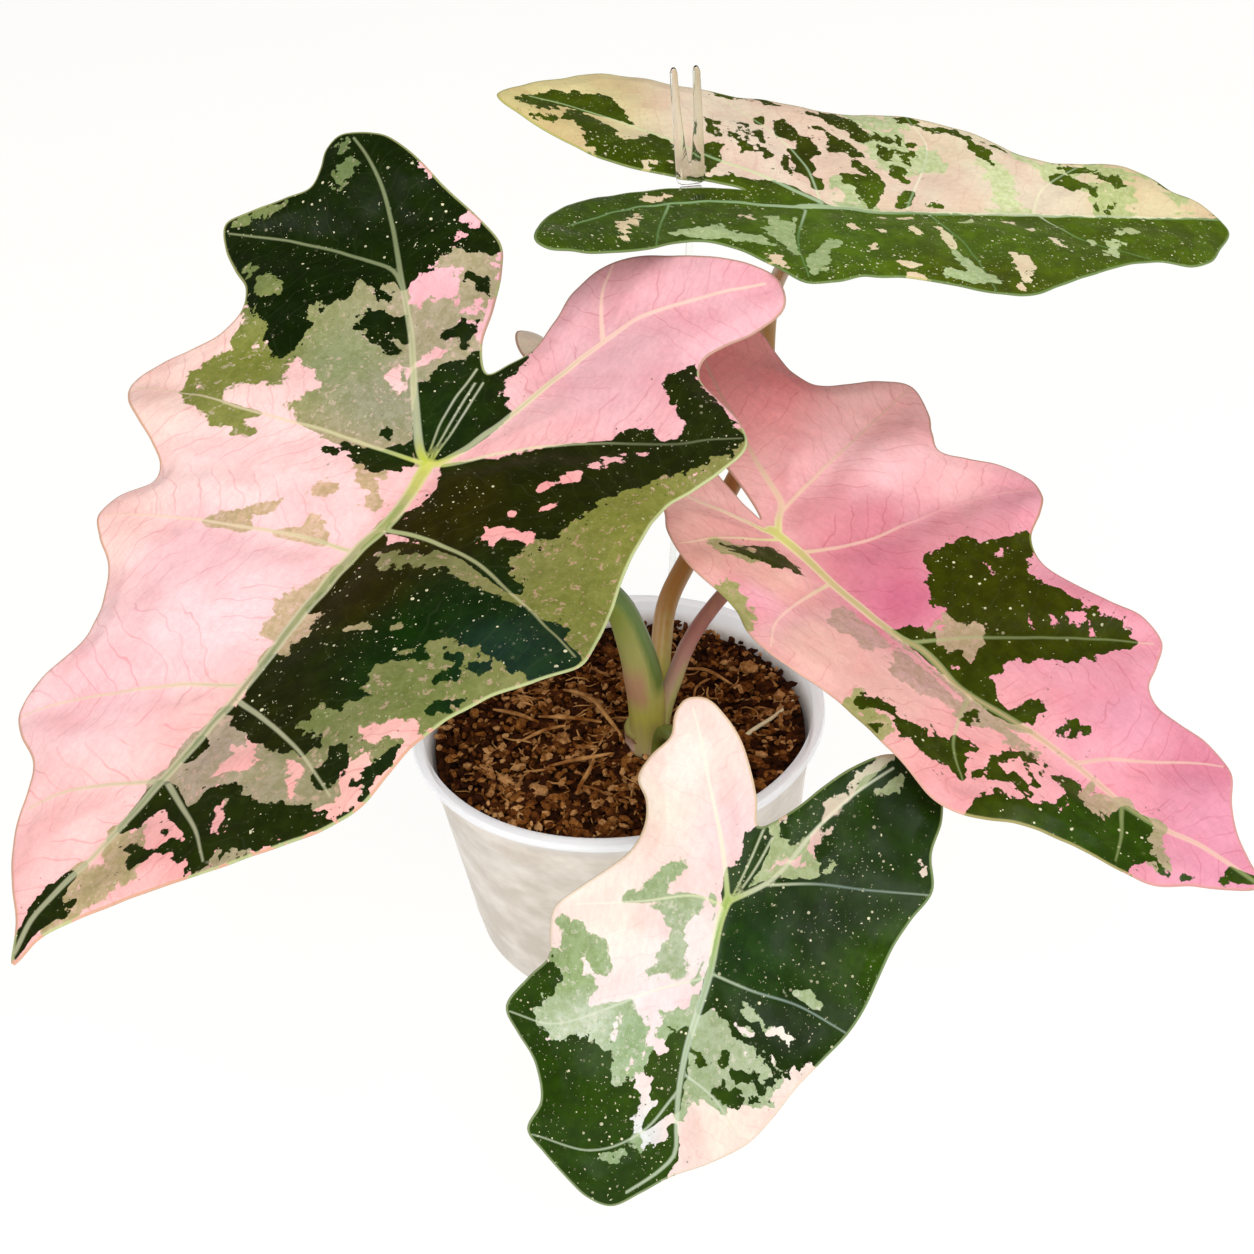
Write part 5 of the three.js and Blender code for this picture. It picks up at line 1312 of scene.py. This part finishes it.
BACK_TONES = {
    "pale":
        "-60,-50,#cfc18d -74,-38,#c9bc82 -20,-45,#d9c8b1 -10,-20,#dcc8b4 30,-10,#d7c8b1"
        " 60,-12,#d7c8af 95,-15,#d1c39a 40,-30,#d7c9ab 30,15,#dcd1a9 -50,20,#dacfa7",
    "mid":
        "-30,20,#a3b183 -10,20,#9dae7c 32,35,#a9b88a 78,14,#b4bf90 88,-10,#b5bb84 54,-12,#cbcfa2"
        " 24,-24,#b8c094",
    "deep":
        "-50,15,#34460c 0,15,#435813 40,20,#465a13 38,36,#3d4607 90,6,#41510e -60,-40,#343f02"
        " -45,-20,#344102 0,-30,#2e3305 50,-30,#374305",
    "vein_pale": "0,0,#d5d8b0 60,-2,#dcd8b4 -30,-25,#c8cf9c 30,-25,#e2dcc0",
    "vein_deep":
        "-9,22,#5f8248 36,20,#60834a 74,13,#6a8c54 -44,20,#64864c 0,0,#a9bc98 60,-2,#b4c09c"
        " -40,4,#87a572 30,20,#6c8a56 -50,-34,#9db47a",
    "vein_core": "0,0,#a4b888 60,-2,#b6c09c",
    "rim_pale": "-50,-60,#a8a65a 30,-45,#b5b274 90,-25,#b0ab66",
    "rim_deep": "-40,30,#728650 40,44,#6f8450 -60,-50,#8a9450",
}
BACK["quilt"] = 1.1
leaf_back = blade("leaf_back_skin", BACK, BACK_MARGIN, BACK_VEINS, BACK_PATCHES, BACK_TONES, 8)
blade_finish("back_blade", leaf_back, 0.36, 2.6, 0.8, 0.5)
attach(leaf_back, "root")
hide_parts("leaf_back")

# Front leaf: the low one that hangs in front of the pot. Blush white and sage at the left of its
# midrib, glossy dark green at the right.
FRONT_MARGIN = (
    "-20,-4 -27,-2 -34,1 -41,5 -46,10 -49,15 -48,20 -44,22 -38,22 -32,26 -26,28 -21,25 -15,24 -8,26"
    " -2,31 4,37 10,42 16,42 22,41 28,45 36,49 42,45 49,39 57,36 65,38 70,33 76,25 79,20 80,14 75,7"
    " 70,1 64,-8 57,-16 49,-21 41,-25 33,-30 25,-35 18,-38 10,-40 2,-42 -5,-45 -13,-49 -22,-47 -31,-48"
    " -39,-46 -44,-40 -44,-32 -39,-24 -33,-18 -26,-12")
FRONT_VEINS = [
    ("slim_mid", "-1,0 5,1 18,1 28,2 37,3 47,3 56,2 64,1 69,4 76,11"),
    ("slim_rear", "0,0 -4,1 -16,5 -30,11 -40,15 -46,18"),
    ("slim_rear", "0,0 -8,-10 -22,-18 -33,-26 -41,-34"), ("slim_side", "-6,-8 -9,-21 -10,-33 -12,-49"),
    ("slim_side", "18,1 20,-10 21,-22 25,-35"), ("slim_side", "1,1 0,8 4,21 8,37"),
    ("slim_side", "19,1 25,14 32,25 38,37 37,48"), ("slim_side", "48,3 60,10 67,21 66,37"),
    ("slim_side", "44,2 48,-6 56,-14"), ("thin", "-20,-5.5 -9,-3 0,-.5"), ("thin", "-18,-8 -9,-5 0,-1"),
]
FRONT_PATCHES = {
    "green": [
        "0,-1.5 20,.5 27,1 26,-2 28,-5 31,-8 32,-11 35,-15 37,-19 39,-21.5 36,-24 33.5,-28 31.5,-34"
        " 20,-52 -20,-62 -54,-54 -49,-38 -33,-28.4 -22,-20.6 -17,-19.4 -14,-19.5 -13.5,-21 -15,-24.5"
        " -12,-23 -10,-24 -8,-14 -7,-10.5 -4,-6",
        "40,-20.5 44,-19 47,-16 48,-13.5 48,-10 46.5,-6.5 43,-7 42,-9 41,-8 39,-9 39,-13 40,-17",
        "35,-7 38,-8 40,-8 39.5,-6 36,-6", "38,.5 39,-3 40.5,-3.5 40,-.5",
        "-42,-30 -38,-26 -33,-23 -30,-19.5 -24,-17 -21,-15 -18,-13 -18.5,-10.5 -20,-9.5 -27,-10 -36,-18"
        " -44,-27",
        "-20,-6 -14,-6.5 -8,-4 -2,-2 0,0 -2,1 -6,.5 -12,-.5 -19,-2",
        "22,41 25,36.5 28,37 32,40 35,42 38,43 40,53 30,52 22,46",
        "33,5 35,4 45,3.2 52,3 56,7 58,9.5 55,9 52,7 50,9.5 46,10.5 43,12 41,12 39,9 36,8 33.5,7",
        "47,14 51,12.5 55,12 60,13 63,16 66,22 67.5,28 67,38 64,42 56,39 49,42 42,49 38,52 38,45 40,42"
        " 41,34 39.5,30 40,26 42,22.5 43,20.5 48,20 51,18.5 48,17",
        "60,2 66,1 70,2 75,7 82,13 83,20 79,28 73,36 66,42 67,30 66,20 65,12 62,7 58,3",
    ],
    "green_holes": [
        "17,-25 18.5,-27 21,-28.5 22.5,-28 22,-25 20,-21 18,-20 17,-22",
        "18.5,-19.5 20.5,-18 20,-15 18,-16.5", "-25,-22.5 -22,-22 -21,-20 -24,-20.5",
        "-20,-46 -17,-46.5 -17,-45 -19.5,-44.8", "57,4 60,3 63,8 65,10 64,12 61,9 58,6",
        "27,-19 29,-22 30,-18 28,-15", "29,-12 31,-14 32,-11 29,-8",
    ],
    "sage": [
        "29,.5 30,-4 33,-9 35,-12 37,-16 39,-20 40,-19 39,-14 38,-10 36,-6 39,-6 38.5,-2 36,0",
        "41,1 41,-6 44,-7 48,-6.5 49,-3 51.5,0",
        "-15,-24.5 -12,-23 -10,-24 -8.5,-14 -11,-16.5 -13,-18 -13.5,-21", "17,-22 22,-27 22,-24 20,-21",
        "-18,-13 -12,-9.5 -3,-3.5 -8,-4 -14,-6.5 -18,-6.5 -20,-9",
        "-9,13 -7,12 -3,14 0,15 2,18 3,22 3.5,25 1,23 -1,20 -5,18 -8,16",
        "1,7 4,6.5 8,9 11,8 15,7 19,7 20,10 21,14 22.5,16 20.5,17 18,15 15,15 12,13 9,13 7,15 5,17 2,14"
        " 1,10",
        "31.5,14.5 35,13 40,13.5 43,15 46,18 47,20 43,20 42,22 38,21.5 33,21 30,20 30,17",
        "17,26.5 20,25 23,26.5 27,28.5 32,29 35,33 36,36 37,39.8 37,42 34,41 30,38.5 26,36 24,37"
        " 22,39.5 17,39 13,41 10.5,38.6 12,36 14,33 14,30 16,28",
        "31,22 38,22 41,25 40,30 41,32 38,38 36,36 32,28", "28,4 33,3 33,10 29,12",
    ],
    "sage_holes": [
        "21,31 24,30 24,32 21.5,32.5",
    ],
    "sage_in_green": [
        "43,-17 45,-17 44.5,-12 43,-8 42,-8.5 42.5,-13",
        "-39,-37 -35.5,-37 -33.5,-31 -35,-30 -37,-33 -40,-35",
        "65,12 67,13 69,17 69.5,20 66,19.5 64,14", "24,-12 27,-14 26,-9 23,-8",
    ],
}
FRONT_TONES = {
    "pale":
        "-28,-24,#cfc9b0 -37,-31,#cdc8ae -30,18,#ecd6cc -18,2,#e4c4c4 -20,22,#ebdccc 10,28,#e8d8cc"
        " 28,10,#e2d0cf 14,4,#ddd0cc 30,24,#e2d6d2 55,-8,#e8d3c4 60,0,#e6cfc4 -13,-16,#e0bab2"
        " 61,7,#ccd2d0 20,-22,#dcdacc",
    "mid":
        "-3,17,#94a37c 12,10,#a3ad90 38,17,#8fa47c 24,34,#8a9d6c 36,28,#bcc4b0 38,-8,#a5b090"
        " 45,-2,#9aa884 -12,-8,#a9b488 67,16,#8ea07c -12,-20,#a4ae84",
    "deep":
        "0,-25,#142502 8,-36,#243a02 30,-22,#142402 8,-8,#1c3212 -35,-42,#162902 50,30,#1e3202"
        " 74,20,#203408 -10,-1,#1e300c 42,6,#2b3e0c -28,-14,#22360c",
    "vein_pale":
        "0,0,#c9d08e -6,2,#e8d8c4 2,7,#e0dccb 30,2,#ccd0be 60,2,#c8ccb4 0,20,#e8dccf 30,25,#dedccf"
        " -30,12,#eadaca",
    "vein_deep":
        "0,0,#b0c070 -6,-6,#c4c8a8 30,1,#b0bda4 60,2,#a9b69a -8,-28,#72867a 20,-20,#84968a"
        " -30,-24,#cfd6b8",
    "vein_core": "0,0,#8fb030 8,1,#88a650 24,1,#94ac78 60,2,#9cac88 -8,-8,#c8ccaa -8,3,#e0d4b8",
    "rim_pale": "-30,24,#c9b088 10,40,#d9c8b0 60,-12,#dcc8b4",
    "rim_deep": "0,-42,#7c9060 60,38,#8d9c6e -40,-40,#93a26a",
}
FRONT["quilt"] = 1.4
leaf_front = blade("leaf_front_skin", FRONT, FRONT_MARGIN, FRONT_VEINS, FRONT_PATCHES, FRONT_TONES, 13)
blade_finish("front_blade", leaf_front, 0.33, 2.2, 1.8, 0.35)
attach(leaf_front, "root")
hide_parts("leaf_front")

# Plant support: a thin clear rod in the soil with a clear forked clip on its top, both cast in clear
# plastic. The clip's two tines stand on either side of the back leaf's rear lobe.
ROD_LINE = [(15.6, 45, 40), (24, 34.8, 128), (32.6, 28.4, 218.7)]
ROD_RADIUS = 1.05
CLIP_BASE = Vector((32.6, 29.2, 221.8))
CLIP_HEIGHT = 31
CLIP_HALF_WIDTH = 3.9
CLIP_DEPTH = 1.5
CLIP_EDGE = 0.35
SHELF_PLACE = Vector((0, -3.5, -1.6))
SHELF_SIZE = (6, 10, 1.4)
SHELF_EDGE = 0.4
SMOOTH_ANGLE = math.radians(35)
rod_line = smooth_line(ROD_LINE, False, 4) * MM
rod = strands("support_rod_skin", [[Vector(p) for p in rod_line]], [[ROD_RADIUS * MM] * len(rod_line)], 4)

clip_half = [
    (0, 0), (2.4, 0.1), (3.6, 0.7), (CLIP_HALF_WIDTH, 2), (CLIP_HALF_WIDTH, 12), (CLIP_HALF_WIDTH, 24),
    (CLIP_HALF_WIDTH, 29.6), (3.5, 30.7), (2.9, CLIP_HEIGHT), (2.3, 30.7), (2.0, 29.6), (1.7, 20),
    (1.0, 11), (0.4, 6.4)]
clip_ring = clip_half[1:] + [(0, 5.6)] + [(-x, z) for x, z in clip_half[:0:-1]] + [(0, 0)]
clip_points = []
for y in (-CLIP_DEPTH / 2, CLIP_DEPTH / 2):
    clip_points += [(CLIP_BASE + Vector((x, y, z))) * MM for x, z in clip_ring]
count = len(clip_ring)
clip_faces = [tuple(range(count)), tuple(range(2 * count - 1, count - 1, -1))]
clip_faces += [(k, k + count, (k + 1) % count + count, (k + 1) % count) for k in range(count)]
clip = mesh_piece("support_fork_skin", clip_points, [], clip_faces)
bpy.ops.object.mode_set(mode="EDIT")
bpy.ops.mesh.select_all(action="SELECT")
bpy.ops.mesh.normals_make_consistent(inside=False)
bpy.ops.object.mode_set(mode="OBJECT")
rounded = clip.modifiers.new("rounded", "BEVEL")
rounded.width = CLIP_EDGE * MM
rounded.segments = 2
rounded.limit_method = "ANGLE"
bpy.ops.object.modifier_apply(modifier=rounded.name)
bpy.ops.object.shade_smooth_by_angle(angle=SMOOTH_ANGLE)
bpy.ops.mesh.primitive_cube_add(size=1, location=(CLIP_BASE + SHELF_PLACE) * MM)
shelf = bpy.context.object
shelf.name = "support_shelf_skin"
shelf.scale = [size * MM for size in SHELF_SIZE]
bpy.ops.object.transform_apply(location=True, rotation=True, scale=True)
rounded = shelf.modifiers.new("rounded", "BEVEL")
rounded.width = SHELF_EDGE * MM
rounded.segments = 2
bpy.ops.object.modifier_apply(modifier=rounded.name)
bpy.ops.object.shade_smooth_by_angle(angle=SMOOTH_ANGLE)

clear_finish, tree, shader = new_material("clear_plastic")
place = add_node(tree, "TexCoord", {}, output="Object")
haze = add_node(tree, "TexNoise", {"Vector": place, "Scale": 300, "Detail": 2})
across = add_node(tree, "MapRange", {
    "Value": add_node(tree, "SeparateXYZ", {"Vector": place}, output="X"),
    "From Min": (CLIP_BASE.x + 0.5) * MM, "From Max": (CLIP_BASE.x + 2.5) * MM,
    "To Min": 0.15, "To Max": 0.85})
haze = add_node(tree, "Math", {0: haze, 1: across}, operation="MULTIPLY")
tint = mixed_colour(tree, haze, (0.98, 0.99, 0.97, 1), (0.6, 0.66, 0.46, 1))
feed(tree, shader.inputs["Base Color"], tint)
shader.inputs["Roughness"].default_value = 0.06
shader.inputs["Transmission Weight"].default_value = 1.0
shader.inputs["IOR"].default_value = 1.46
for piece, node in [(rod, "support_rod"), (clip, "support_fork"), (shelf, "support_fork")]:
    piece.data.materials.clear()
    piece.data.materials.append(clear_finish)
    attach(piece, "root")
    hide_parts(node)
